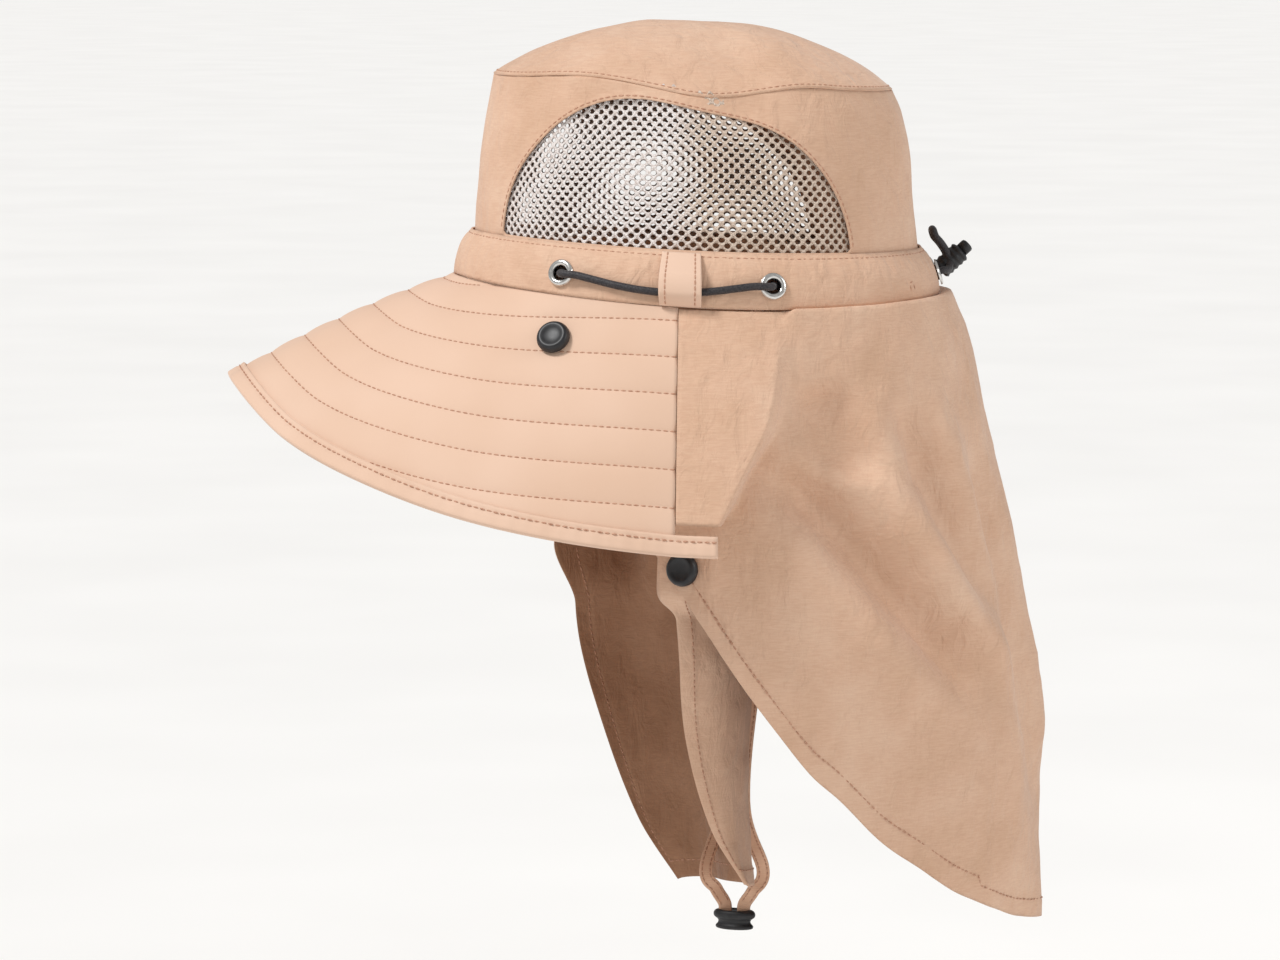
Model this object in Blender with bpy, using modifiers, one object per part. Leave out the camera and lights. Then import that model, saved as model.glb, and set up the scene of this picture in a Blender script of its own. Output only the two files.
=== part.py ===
"""A soft ranger hat: crown with two mesh windows, quilted peak, neck flap, face cover and chin strap.

Metres, +Z up. The peak points to -Y and the wearer's left is +X. The origin is the middle of the
head opening, in the plane of the band's lower edge. Round the hat, the angle t starts at the
wearer's left (+X) and grows towards the back (+Y), so the front is at -90 degrees.
"""

import math

import bmesh
import bpy
from mathutils import Matrix, Vector

# Crown
HALF_LENGTH = 0.1010  # outside of the crown wall at the band, front to back
HALF_WIDTH = 0.0850  # the same, side to side
CROWN_RISE = 0.0900  # lower edge to the tip's seam
TIP_RISE = 0.0270
CROWN_WALL = 0.0012
CROWN_COLUMNS = 48
LEAN = 0.042  # the hat leans back by this much height per length
SIDE_DIP = 0.0060  # the lower edge hangs this much lower over the ears
GAP = 0.0003  # clearance between pieces that touch

# Share of the crown's rise; girth as a share of the half length and width; shift towards the back
# as a share of the half length; how much of the side dip is left
CROWN_LEVELS = (
    (0.00, 1.000, 0.010, 1.00),
    (0.22, 1.000, 0.012, 0.35),
    (0.50, 0.980, 0.010, 0.15),
    (0.72, 0.955, 0.008, 0.05),
    (0.90, 0.920, 0.002, 0.00),
    (1.00, 0.890, -0.010, 0.00),
)
# Soft dents of the crown wall: angle, share of the rise, depth, reach round the hat, reach up
DENTS = (
    (-62.0, 0.80, 0.0022, 13.0, 0.20),
    (-28.0, 0.90, 0.0018, 16.0, 0.14),
    (8.0, 0.93, 0.0026, 11.0, 0.16),
    (52.0, 0.62, 0.0024, 12.0, 0.34),
    (84.0, 0.45, 0.0020, 13.0, 0.30),
    (128.0, 0.70, 0.0026, 14.0, 0.26),
    (172.0, 0.90, 0.0024, 15.0, 0.16),
    (236.0, 0.72, 0.0024, 14.0, 0.24),
)
TIP_DENTS = (
    (8.0, 0.72, 0.0030, 16.0, 0.20),
    (-100.0, 0.55, 0.0020, 24.0, 0.25),
    (150.0, 0.60, 0.0024, 22.0, 0.25),
)

# Mesh windows, one on each side
WINDOW_MIDDLE = -14.0  # degrees from the wearer's left, towards the back
WINDOW_HALF_SPAN = 50.5
WINDOW_RISE = 0.0640
WINDOW_FOOT = 0.0205  # height of its straight lower edge
WINDOW_CUT = 0.0080  # depth of the cut that opens it

# Band: a cord casing sewn round the foot of the crown
BAND_HEIGHT = 0.0200
BAND_FLARE = 0.0080  # the lower edge stands this far out from the crown
BAND_WALL = 0.0012
# Share of the band's height, from its lower edge up; share of the flare
BAND_PROFILE = ((0.0, 1.0), (0.3, 0.90), (0.6, 0.66), (0.85, 0.30), (1.0, 0.0))

# Elastic cord and its eyelets
CORD_DIAMETER = 0.0034
CORD_HEIGHT = 0.0085
CORD_SAG = 0.0035
EYELET_HOLE = 0.0064
EYELET_FLANGE = 0.0120
EYELET_RIM = 0.0010  # height of the flange's round
EYELET_FRONT = -39.0
EYELET_BACK = 12.0
EYELET_REAR = 83.0
EYELET_SIDES = 14
LOOP_ANGLE = -9.5
LOOP_WIDTH = 0.0165
LOOP_WALL = 0.0010

# Cord lock at the back
LOCK_DIAMETER = 0.0100
LOCK_LENGTH = 0.0135
LOCK_TILT = 42.0
LOCK_BUTTON_DIAMETER = 0.0062
LOCK_BUTTON_LENGTH = 0.0045
REAR_LOOP_RISE = 0.0185  # of the cord's loop above the eyelets
REAR_RUNS = 0.0050  # between the two runs inside the lock

# Peak
PEAK_WIDTH = 0.1120
PEAK_WALL = 0.0025
PEAK_END = -10.0  # its end seam, at each side
PEAK_CURL = 14.0  # growth of the slope across the peak
PEAK_COLUMNS = 34
QUILT_ROWS = 6
QUILT_DEPTH = 0.0006
BINDING_WIDTH = 0.0090
BINDING_WALL = 0.0010
BINDING_RUN_ON = 7.5  # degrees that the binding runs past the end seam
# Share of the way from the front to the end seam, mean slope there in degrees
PEAK_SLOPES = (
    (0.00, 24.0),
    (0.06, 25.4),
    (0.12, 29.8),
    (0.19, 37.0),
    (0.375, 48.0),
    (0.56, 58.0),
    (0.75, 64.5),
    (1.00, 70.0),
)

# Neck flap
FLAP_DROP = 0.2950
FLAP_WALL = 0.0012
FLAP_ROLL = 0.0045  # how far its top rolls out over the band's edge
FOLD_DROP = 0.0925  # depth of the lower end of the side folds
FLAP_CORNER = -12.0  # near front corner
FLAP_CORNER_FAR = 205.0  # the other, which hangs further forward
CORNER_TUCK = 0.0110  # the corners turn in under the peak
# Share of the drop; half width and reach back as shares of the band's
FLAP_LEVELS = (
    (0.00, 1.000, 1.000),
    (0.05, 1.020, 1.085),
    (0.12, 1.030, 1.150),
    (0.25, 1.060, 1.225),
    (0.42, 1.120, 1.320),
    (0.57, 1.120, 1.390),
    (0.70, 1.040, 1.445),
    (0.83, 0.960, 1.460),
    (0.92, 0.830, 1.465),
    (1.00, 0.560, 1.470),
)
# Angle round the hat, share of the drop at which the hem lies
FLAP_HEM = (
    (-12.0, 0.375),
    (-7.0, 0.440),
    (-3.0, 0.495),
    (3.0, 0.576),
    (9.0, 0.651),
    (15.0, 0.722),
    (20.0, 0.763),
    (28.0, 0.834),
    (36.0, 0.881),
    (44.0, 0.924),
    (55.0, 0.961),
    (66.0, 0.986),
    (90.0, 1.000),
)
# Share of the fold's depth, angle of its ridge
RIDGE_LINE = ((0.0, 13.0), (0.5, 8.0), (0.8, 1.5), (1.0, -2.5))
RIDGE_TURN = 4.5  # degrees in which the cloth turns in behind the ridge
RIDGE_COLUMN = 0.08  # share of the flap's columns between its end and the ridge
TURN_COLUMN = 0.16  # the same, up to where the cloth has turned in
# Valleys of the hanging cloth: upper angle and share of the drop, lower ones, depth, half width
FLAP_FOLDS = (
    (8.0, 0.20, 50.0, 0.60, 0.0075, 8.0),
    (36.0, 0.10, 58.0, 0.50, 0.0050, 6.0),
    (62.0, 0.16, 78.0, 0.80, 0.0040, 8.0),
    (20.0, 0.10, 26.0, 0.26, 0.0050, 8.0),
    (104.0, 0.12, 98.0, 0.78, 0.0040, 8.0),
    (128.0, 0.10, 118.0, 0.62, 0.0060, 8.0),
    (166.0, 0.18, 134.0, 0.62, 0.0070, 9.0),
)

# Face cover, a limp cloth hung from the flap's two snaps
COVER_TOP = 0.1080
COVER_DROP = 0.1680
COVER_HALF = 0.1000
COVER_WALL = 0.0012
COVER_CLOTH = 0.2200  # its cloth from edge to edge, along the bow
SNAP_MARGIN = 0.0085  # from a snap's middle to the cover's edges
SNAP_EASE = 0.0260  # in which the cover leaves the flap's cloth
FLAP_PER_DEGREE = 0.00183  # length of the flap's cloth per degree near its corners
COVER_SLANT = 0.0065  # its far side hangs lower and its near side higher by this
# Share of the drop; near edge x and y, far edge x and y, depth of the bow, as shares of the half
COVER_LEVELS = (
    (0.00, 0.905, -0.22, -0.805, -0.47, 0.55),
    (0.32, 0.83, -0.17, -0.84, -0.46, 0.52),
    (0.58, 0.67, -0.12, -0.65, -0.36, 0.44),
    (0.84, 0.54, 0.01, -0.52, -0.20, 0.28),
    (1.00, 0.47, 0.17, -0.42, -0.03, 0.11),
)

# Snap fasteners
SNAP_DIAMETER = 0.0150
SNAP_HEIGHT = 0.0042
SNAP_SIDES = 16
STUD_DIAMETER = 0.0090
STUD_HEIGHT = 0.0024
FLAP_SNAP_DROP = 0.1195
FLAP_SNAP_NEAR = -6.5  # degrees round the hat
FLAP_SNAP_FAR = 198.8
PEAK_SNAP_ANGLE = -37.0
PEAK_SNAP_REACH = 0.19  # share of the peak's width

# Chin strap
STRAP_WIDTH = 0.0060
STRAP_WALL = 0.0012
STRAP_ANGLE = 22.0
CHIN_LOCK_PLACE = (0.0, 0.0185, -0.2940)
CHIN_LOCK_LENGTH = 0.0205
CHIN_LOCK_WIDTH = 0.0110
CHIN_LOCK_HEIGHT = 0.0090
STRAP_HOLES = 0.0048  # from the lock's middle to each run

CLOTH = ((0.80, 0.58, 0.43), 0.85, 0.0)
MESH_CLOTH = ((0.86, 0.80, 0.74), 0.80, 0.0)
BLACK_PLASTIC = ((0.02, 0.02, 0.022), 0.30, 0.0)
BLACK_CORD = ((0.03, 0.028, 0.03), 0.70, 0.0)
NICKEL = ((0.75, 0.75, 0.76), 0.25, 1.0)


def clear_scene():
    for thing in list(bpy.data.objects):
        bpy.data.objects.remove(thing, do_unlink=True)


def collection(name):
    made = bpy.data.collections.new(name)
    bpy.context.scene.collection.children.link(made)
    return made


def finish(thing, look):
    """Gives an object its own material and puts it with the hat's pieces."""
    colour, roughness, metallic = look
    material = bpy.data.materials.new(thing.name)
    material.use_nodes = True
    shader = material.node_tree.nodes["Principled BSDF"]
    shader.inputs["Base Color"].default_value = (*colour, 1.0)
    shader.inputs["Roughness"].default_value = roughness
    shader.inputs["Metallic"].default_value = metallic
    thing.data.materials.append(material)
    HAT.objects.link(thing)
    return thing


def cutter(thing):
    thing.hide_render = True
    thing.display_type = "WIRE"
    CUTTERS.objects.link(thing)
    return thing


def smooth(x):
    x = min(max(x, 0.0), 1.0)
    return x * x * (3.0 - 2.0 * x)


def along(table, x, column=1):
    """Reads a column of a table at x, on a smooth curve through its rows."""
    last = len(table) - 1
    x = min(max(x, table[0][0]), table[last][0])
    k = 0
    while k < last - 1 and x > table[k + 1][0]:
        k += 1

    def tangent(j):
        low, high = table[max(j - 1, 0)], table[min(j + 1, last)]
        return (high[column] - low[column]) / (high[0] - low[0])

    a, b = table[k], table[k + 1]
    span = b[0] - a[0]
    s = (x - a[0]) / span
    rise = b[column] - a[column]
    start, end = tangent(k) * span, tangent(k + 1) * span
    curve = s * s * (3 - 2 * s) * rise + (s**3 - 2 * s * s + s) * start + (s**3 - s * s) * end
    return a[column] + curve


def bump(x, half):
    return math.exp(-((x / half) ** 2))


def turn_between(a, b):
    return (a - b + 180.0) % 360.0 - 180.0


def rim_height(t, y, dip_left=1.0):
    """Height of the band's lower edge above the origin's plane."""
    return -LEAN * y - SIDE_DIP * dip_left * math.cos(math.radians(t)) ** 2


def crown_point(t, height, out=0.0):
    """A point of the crown's outer face, at a height above its lower edge."""
    share = height / CROWN_RISE
    girth = along(CROWN_LEVELS, share, 1)
    shift = along(CROWN_LEVELS, share, 2) * HALF_LENGTH
    for angle, rise, depth, reach, reach_up in DENTS:
        out -= depth * bump(turn_between(t, angle), reach) * bump(share - rise, reach_up)
    a = math.radians(t)
    x = (HALF_WIDTH * girth + out) * math.cos(a)
    y = (HALF_LENGTH * girth + out) * math.sin(a) + shift
    return Vector((x, y, height + rim_height(t, y, along(CROWN_LEVELS, share, 3))))


def band_point(t, height, out=0.0):
    """A point of the band's outer face."""
    flare = along(BAND_PROFILE, height / BAND_HEIGHT) * BAND_FLARE
    return crown_point(t, height, GAP + BAND_WALL + flare + out)


def outward(t, height, surface):
    """The outward normal of a surface of t and height."""
    round_the_hat = surface(t + 0.5, height) - surface(t - 0.5, height)
    up = surface(t, height + 0.001) - surface(t, height - 0.001)
    return round_the_hat.cross(up).normalized()


def grid(name, point, columns, rows, flip=False, close=False):
    """A mesh whose columns and rows follow point(u, v), with u and v from 0 to 1."""
    bm = bmesh.new()
    bmesh.ops.create_grid(bm, x_segments=columns, y_segments=rows, size=0.5)
    for vertex in bm.verts:
        vertex.co = point(vertex.co.x + 0.5, vertex.co.y + 0.5)
    if close:
        bmesh.ops.remove_doubles(bm, verts=bm.verts, dist=1e-6)
    if flip:
        bmesh.ops.reverse_faces(bm, faces=bm.faces)
    mesh = bpy.data.meshes.new(name)
    bm.to_mesh(mesh)
    bm.free()
    mesh.shade_smooth()
    return bpy.data.objects.new(name, mesh)


def thicken(thing, wall):
    solidify = thing.modifiers.new("wall", "SOLIDIFY")
    solidify.thickness = wall
    solidify.offset = -1.0
    return thing


def bake(thing):
    """Replaces an object's mesh by its evaluated one, as a piece that is cut needs."""
    holder = bpy.context.scene.collection
    holder.objects.link(thing)
    graph = bpy.context.evaluated_depsgraph_get()
    mesh = bpy.data.meshes.new_from_object(thing.evaluated_get(graph))
    holder.objects.unlink(thing)
    bm = bmesh.new()
    bm.from_mesh(mesh)
    bmesh.ops.remove_doubles(bm, verts=bm.verts, dist=1e-6)
    bm.to_mesh(mesh)
    bm.free()
    name, place = thing.name, thing.matrix_world.copy()
    bpy.data.objects.remove(thing)
    solid = bpy.data.objects.new(name, mesh)
    solid.matrix_world = place
    return solid


def cut(thing, tool):
    hole = thing.modifiers.new("cut", "BOOLEAN")
    hole.operation = "DIFFERENCE"
    hole.object = tool
    return thing


def turned(name, profile, sides):
    """A turned solid from a closed profile of (radius, height), top to bottom on its outer side."""
    curve = bpy.data.meshes.new(name)
    points = [(radius, 0.0, height) for radius, height in profile]
    edges = [(i, i + 1) for i in range(len(points) - 1)]
    if profile[0][0] > 0.0:
        edges.append((len(points) - 1, 0))
    curve.from_pydata(points, edges, [])
    thing = bpy.data.objects.new(name, curve)
    screw = thing.modifiers.new("turn", "SCREW")
    screw.steps = sides
    screw.render_steps = sides
    screw.use_merge_vertices = True
    screw.merge_threshold = 0.00001
    screw.use_smooth_shade = True
    return thing


def seat(thing, place, normal):
    """Stands an object's +Z on a surface."""
    thing.matrix_world = Matrix.Translation(place) @ normal.to_track_quat("Z", "Y").to_matrix().to_4x4()
    return thing


def tube(name, points, diameter, closed=False):
    curve = bpy.data.curves.new(name, "CURVE")
    curve.dimensions = "3D"
    curve.bevel_depth = diameter / 2
    curve.bevel_resolution = 2
    curve.use_fill_caps = True
    spline = curve.splines.new("POLY")
    spline.points.add(len(points) - 1)
    for knot, place in zip(spline.points, points):
        knot.co = (*place, 1.0)
    spline.use_cyclic_u = closed
    return bpy.data.objects.new(name, curve)


def window_place(u, v, inset=0.0):
    """Angle and height in a window: u goes round its edge, v from its middle to the edge."""
    arc_share = 0.68
    if u < arc_share:
        a = math.pi * u / arc_share
        across, up = math.cos(a), math.sin(a)
    else:
        across, up = -1.0 + 2.0 * (u - arc_share) / (1.0 - arc_share), 0.0
    middle_up = 0.4
    half = WINDOW_HALF_SPAN - math.degrees(inset / HALF_LENGTH)
    rise = WINDOW_RISE - 2 * inset
    t = WINDOW_MIDDLE + half * across * v
    height = WINDOW_FOOT + inset + rise * (middle_up + (up - middle_up) * v)
    return t, height


def to_side(point, side):
    """Mirrors a point to the wearer's right where side is -1."""
    return Vector((side * point.x, point.y, point.z))


def window(name, side, inset):
    def point(u, v):
        t, height = window_place(u, v, inset)
        return crown_point(t if side > 0 else 180.0 - t, height)

    return grid(name, point, 26, 3, flip=side > 0, close=True)


def make_crown():
    def wall(u, v):
        return crown_point(360.0 * u, CROWN_RISE * v)

    side = bake(thicken(grid("crown_side", wall, CROWN_COLUMNS, 7, close=True), CROWN_WALL))
    for word, sign in (("left", 1), ("right", -1)):
        opening = thicken(window("opening_" + word, sign, 0.0), WINDOW_CUT)
        opening.modifiers["wall"].offset = 0.0
        cut(side, cutter(bake(opening)))
        panel = window("mesh_window_" + word, sign, GAP * 1.5)
        finish(thicken(panel, CROWN_WALL), MESH_CLOTH)
    finish(side, CLOTH)

    def tip(u, v):
        t = 360.0 * u
        foot = crown_point(t, CROWN_RISE, 0.0)
        heart = Vector((0.0, along(CROWN_LEVELS, 1.0, 2) * HALF_LENGTH, 0.0))
        place = heart.lerp(foot, v)
        rise = TIP_RISE * (1.0 - v**2.6)
        for angle, share, depth, reach, reach_in in TIP_DENTS:
            rise -= depth * bump(turn_between(t, angle), reach) * bump(v - share, reach_in) * smooth(v / 0.3)
        place.z = CROWN_RISE + GAP + CROWN_WALL - LEAN * place.y + rise
        return place

    finish(thicken(grid("crown_tip", tip, 36, 5, flip=True, close=True), CROWN_WALL), CLOTH)


def eyelet_spots():
    """Name, angle and height above the lower edge of every eyelet."""
    spots = []
    for word, mirror in (("left", lambda t: t), ("right", lambda t: 180.0 - t)):
        spots.append(("eyelet_front_" + word, mirror(EYELET_FRONT)))
        spots.append(("eyelet_side_" + word, mirror(EYELET_BACK)))
        spots.append(("eyelet_rear_" + word, mirror(EYELET_REAR)))
    return spots


def make_band():
    inner_out = GAP
    levels = [row[0] for row in BAND_PROFILE]
    outer = [(BAND_HEIGHT * share, along(BAND_PROFILE, share) * BAND_FLARE) for share in levels]
    section = [(height, GAP + BAND_WALL + flare) for height, flare in outer]
    section += [(height, GAP + flare) for height, flare in reversed(outer[1:])]
    section += [(BAND_WALL, GAP + BAND_FLARE - 0.0002), (BAND_WALL, inner_out), (0.0, inner_out)]

    def point(u, v):
        height, out = section[round(v * len(section)) % len(section)]
        return crown_point(360.0 * u, height, out)

    band = grid("head_band", point, CROWN_COLUMNS, len(section), close=True)
    for name, t in eyelet_spots():
        drill = turned(name + "_hole", ring_blank(EYELET_HOLE / 2 + GAP * 4, 0.006), 12)
        seat(drill, band_point(t, CORD_HEIGHT), outward(t, CORD_HEIGHT, band_point))
        cut(band, cutter(drill))
    finish(band, CLOTH)


def ring_blank(radius, half_height):
    return ((0.0, half_height), (radius, half_height), (radius, -half_height), (0.0, -half_height))


def make_eyelets():
    hole, flange = EYELET_HOLE / 2, EYELET_FLANGE / 2
    barrel = hole + GAP * 3
    profile = (
        (hole, EYELET_RIM * 0.7 + GAP),
        ((hole + flange) / 2, EYELET_RIM + GAP),
        (flange, GAP + 0.0002),
        (flange, GAP),
        (barrel, GAP),
        (barrel, -BAND_WALL),
        (hole, -BAND_WALL),
    )
    for name, t in eyelet_spots():
        ring = turned(name, profile, EYELET_SIDES)
        seat(ring, band_point(t, CORD_HEIGHT, 0.0002), outward(t, CORD_HEIGHT, band_point))
        finish(ring, NICKEL)


def cord_route():
    """The closed route of the elastic cord, whose stretches run in and on the band by turns."""
    inside = GAP + CORD_DIAMETER / 2 + 0.0005
    outside = GAP + BAND_WALL + BAND_FLARE * 0.86 + CORD_DIAMETER / 2 + 0.0006
    per_degree = math.pi * HALF_LENGTH / 180.0

    def through(t, way):
        """Points from inside the band to outside through an eyelet, way being the sign of t's step."""
        steps = ((-0.0075, inside), (-0.0040, inside + 0.0006), (-0.0012, inside + 0.0024))
        steps += ((0.0008, outside - 0.0006), (0.0036, outside + 0.0012), (0.0085, outside + 0.0004))
        return [(t + way * step / per_degree, CORD_HEIGHT, out) for step, out in steps]

    def run(start, end, out, sag=0.0, step=6.0):
        count = max(round(abs(end - start) / step), 2)
        shares = [(k + 0.5) / count for k in range(count)]
        return [(start + (end - start) * s, CORD_HEIGHT - sag * math.sin(math.pi * s), out) for s in shares]

    reach = 0.0095 / per_degree
    left = run(EYELET_REAR - reach, EYELET_BACK + reach, inside)
    left += through(EYELET_BACK, -1)
    left += run(EYELET_BACK - reach, EYELET_FRONT + reach, outside, CORD_SAG)
    left += list(reversed(through(EYELET_FRONT, 1)))
    left += run(EYELET_FRONT - reach, -90.0, inside)
    right = [(180.0 - t, height, out) for t, height, out in reversed(left)]
    return [crown_point(t, height, out) for t, height, out in left + right]


def rear_loop():
    """The cord's stretch behind the hat, from one rear eyelet through the lock to the other."""
    t = EYELET_REAR
    place = band_point(t, CORD_HEIGHT)
    normal = outward(t, CORD_HEIGHT, band_point)
    half = REAR_RUNS / 2
    y, z = place.y, place.z
    points = [place - normal * 0.0045, place + normal * 0.0030]
    points += [
        Vector((place.x * 0.72, y + 0.0060, z + 0.0010)),
        Vector((half * 1.3, y + 0.0072, z + 0.0040)),
        Vector((half, y + 0.0060, z + 0.0085)),
        Vector((half * 1.25, y + 0.0030, z + 0.0130)),
        Vector((half * 1.2, y + 0.0008, z + REAR_LOOP_RISE - 0.0030)),
        Vector((half * 0.7, y - 0.0002, z + REAR_LOOP_RISE)),
    ]
    other = [to_side(point, -1) for point in reversed(points)]
    return points + other


def rounded(points, per_span, closed):
    """Points on a smooth curve through the given ones."""
    count = len(points)
    spans = count if closed else count - 1
    result = []
    for k in range(spans):
        four = []
        for j in (k - 1, k, k + 1, k + 2):
            four.append(points[j % count] if closed else points[min(max(j, 0), count - 1)])
        a, b, c, d = four
        for i in range(per_span):
            s = i / per_span
            curve = 2 * b + (c - a) * s + (2 * a - 5 * b + 4 * c - d) * s * s
            result.append((curve + (3 * b - a - 3 * c + d) * s**3) / 2)
    if not closed:
        result.append(points[-1])
    return result


def make_cord():
    rear = rounded(rear_loop(), 2, False)
    round_the_hat = cord_route()
    route = round_the_hat + list(reversed(rear))
    finish(tube("elastic_cord", route, CORD_DIAMETER, closed=True), BLACK_CORD)
    return rear


def make_cord_lock(rear):
    place = band_point(90.0, CORD_HEIGHT)
    heart = Vector((0.0, place.y + 0.0072, place.z + 0.0045))
    axis = Vector((0.0, math.cos(math.radians(LOCK_TILT)), math.sin(math.radians(LOCK_TILT))))
    radius, half, edge = LOCK_DIAMETER / 2, LOCK_LENGTH / 2, LOCK_DIAMETER * 0.16
    shape = (
        (0.0, half),
        (radius - edge, half),
        (radius, half - edge),
        (radius, edge - half),
        (radius - edge, -half),
        (0.0, -half),
    )
    barrel = seat(turned("cord_lock", shape, SNAP_SIDES), heart, axis)
    channel = bake(tube("cord_channel", rear, CORD_DIAMETER + GAP * 4))
    finish(cut(barrel, cutter(channel)), BLACK_PLASTIC)
    top = LOCK_BUTTON_LENGTH
    head = LOCK_BUTTON_DIAMETER / 2
    cap = ((0.0, top), (head * 0.8, top), (head, top * 0.8), (head, GAP), (0.0, GAP))
    button = seat(turned("cord_lock_button", cap, SNAP_SIDES), heart + axis * half, axis)
    finish(button, BLACK_PLASTIC)


def make_loops():
    """The self-fabric loop that holds each outside stretch of the cord to the band."""
    half = math.degrees(LOOP_WIDTH / 2 / HALF_LENGTH)
    stand = CORD_DIAMETER + 0.0016
    # Share of the loop's height from the band's lower edge up, share of how far it stands off
    rows = ((0.0, 0.0), (0.12, 0.55), (0.28, 1.0), (0.58, 1.0), (0.78, 0.45), (1.0, 0.0))

    for word, side in (("left", 1), ("right", -1)):

        def point(u, v, side=side):
            t = LOOP_ANGLE + half * (2 * u - 1)
            height = 0.0006 + (BAND_HEIGHT - 0.0012) * v
            out = 0.0004 + LOOP_WALL + stand * along(rows, v)
            return to_side(band_point(t, height, out), side)

        strip = grid("cord_loop_" + word, point, 2, 10, flip=side < 0)
        finish(thicken(strip, LOOP_WALL), CLOTH)


def peak_point(t, share, lift=0.0):
    """A point of the peak's upper face: share goes from the band to the outer edge."""
    mirrored = t < -90.0
    if mirrored:
        t = -180.0 - t
    slope = along(PEAK_SLOPES, (t + 90.0) / (PEAK_END + 90.0))
    curl = math.radians(PEAK_CURL)
    start = math.radians(slope) - curl / 2
    end = start + curl * share
    reach = PEAK_WIDTH * (math.sin(end) - math.sin(start)) / curl
    drop = PEAK_WIDTH * (math.cos(start) - math.cos(end)) / curl
    foot = band_point(t, 0.0)
    a = math.radians(t)
    width, length = HALF_WIDTH + BAND_FLARE, HALF_LENGTH + BAND_FLARE
    out = Vector((math.cos(a) / width, math.sin(a) / length, 0.0)).normalized()
    up = out * math.sin(end) + Vector((0.0, 0.0, math.cos(end)))
    place = foot + out * reach - Vector((0.0, 0.0, drop + GAP)) + up * lift
    if mirrored:
        place.x = -place.x
    return place


def make_peak():
    turn = -180.0 - 2 * PEAK_END
    edge = 1.0 - (BINDING_WALL + GAP) / PEAK_WIDTH
    quilted = 0.99 - BINDING_WIDTH / PEAK_WIDTH

    def point(u, v):
        t = PEAK_END + turn * u
        share = v * edge
        puff = abs(math.sin(math.pi * QUILT_ROWS * share / quilted)) if share < quilted else 1.0
        return peak_point(t, share, -QUILT_DEPTH * (1.0 - puff))

    rows = 2 * QUILT_ROWS + 1
    finish(thicken(grid("peak", point, PEAK_COLUMNS, rows), PEAK_WALL), CLOTH)

    end = PEAK_END + BINDING_RUN_ON
    tuck = 1.0 - BINDING_WIDTH / PEAK_WIDTH
    inner, outer = 1.0 - BINDING_WALL / PEAK_WIDTH, 1.0
    top, bottom = GAP, -PEAK_WALL - GAP * 2.5
    # Share of the peak's width and height above its upper face, round the binding's section
    section = (
        (tuck, top),
        (tuck, top + BINDING_WALL),
        (inner, top + BINDING_WALL),
        (outer, top),
        (outer, bottom),
        (inner, bottom - BINDING_WALL),
        (tuck, bottom - BINDING_WALL),
        (tuck, bottom),
        (inner, bottom),
        (inner, top),
    )
    count = len(section)
    bm = bmesh.new()
    rings = []
    angles = [PEAK_END + turn * k / PEAK_COLUMNS for k in range(PEAK_COLUMNS + 1)]
    for t in [end, *angles, -180.0 - end]:
        rings.append([bm.verts.new(peak_point(t, share, lift)) for share, lift in section])
    for ring, beyond in zip(rings, rings[1:]):
        for i in range(count):
            j = (i + 1) % count
            bm.faces.new((ring[i], ring[j], beyond[j], beyond[i]))
    bm.faces.new(list(reversed(rings[0])))
    bm.faces.new(rings[-1])
    bmesh.ops.recalc_face_normals(bm, faces=bm.faces)
    mesh = bpy.data.meshes.new("peak_binding")
    bm.to_mesh(mesh)
    bm.free()
    finish(bpy.data.objects.new("peak_binding", mesh), CLOTH)


def folds_at(t, share):
    """How far the flap's valleys draw the cloth in."""
    depth = 0.0
    for top_t, top, low_t, low, deep, half in FLAP_FOLDS:
        along_fold = (share - top) / (low - top)
        fade = smooth(along_fold / 0.3) * smooth((1.15 - along_fold) / 0.35)
        centre = top_t + (low_t - top_t) * min(max(along_fold, 0.0), 1.15)
        across = turn_between(t, centre)
        ridge = 0.45 * deep * (bump(across - 1.6 * half, half) + bump(across + 1.6 * half, half))
        depth += fade * (deep * bump(across, half) - ridge)
    return depth


def mirror_angle(t):
    """The same angle seen from the nearer front corner."""
    return t if t <= 90.0 else 180.0 - t


def hem_drop(t):
    """How far down the flap's hem lies at an angle, which the further corner stretches."""
    corner = FLAP_CORNER if t <= 90.0 else 180.0 - FLAP_CORNER_FAR
    share = (mirror_angle(t) - corner) / (90.0 - corner)
    return along(FLAP_HEM, FLAP_CORNER + (90.0 - FLAP_CORNER) * share) * FLAP_DROP


def body_point(t, drop, out=0.0):
    """A point of the hanging part of the flap."""
    share = drop / FLAP_DROP
    width = (HALF_WIDTH + BAND_FLARE) * along(FLAP_LEVELS, share, 1)
    length = (HALF_LENGTH + BAND_FLARE) * along(FLAP_LEVELS, share, 2)
    a = math.radians(t)
    out -= folds_at(t, share)
    near = mirror_angle(t)
    tuck = CORNER_TUCK * smooth((-1.0 - near) / 12.0) * smooth((drop - 0.07) / 0.04)
    side = math.copysign(1.0, math.cos(a))
    x = (width + out) * math.cos(a) - side * tuck
    y = (length + out) * math.sin(a)
    fall = 1.0 - smooth(share / 0.5)
    return Vector((x, y, rim_height(t, y) * fall - drop))


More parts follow.
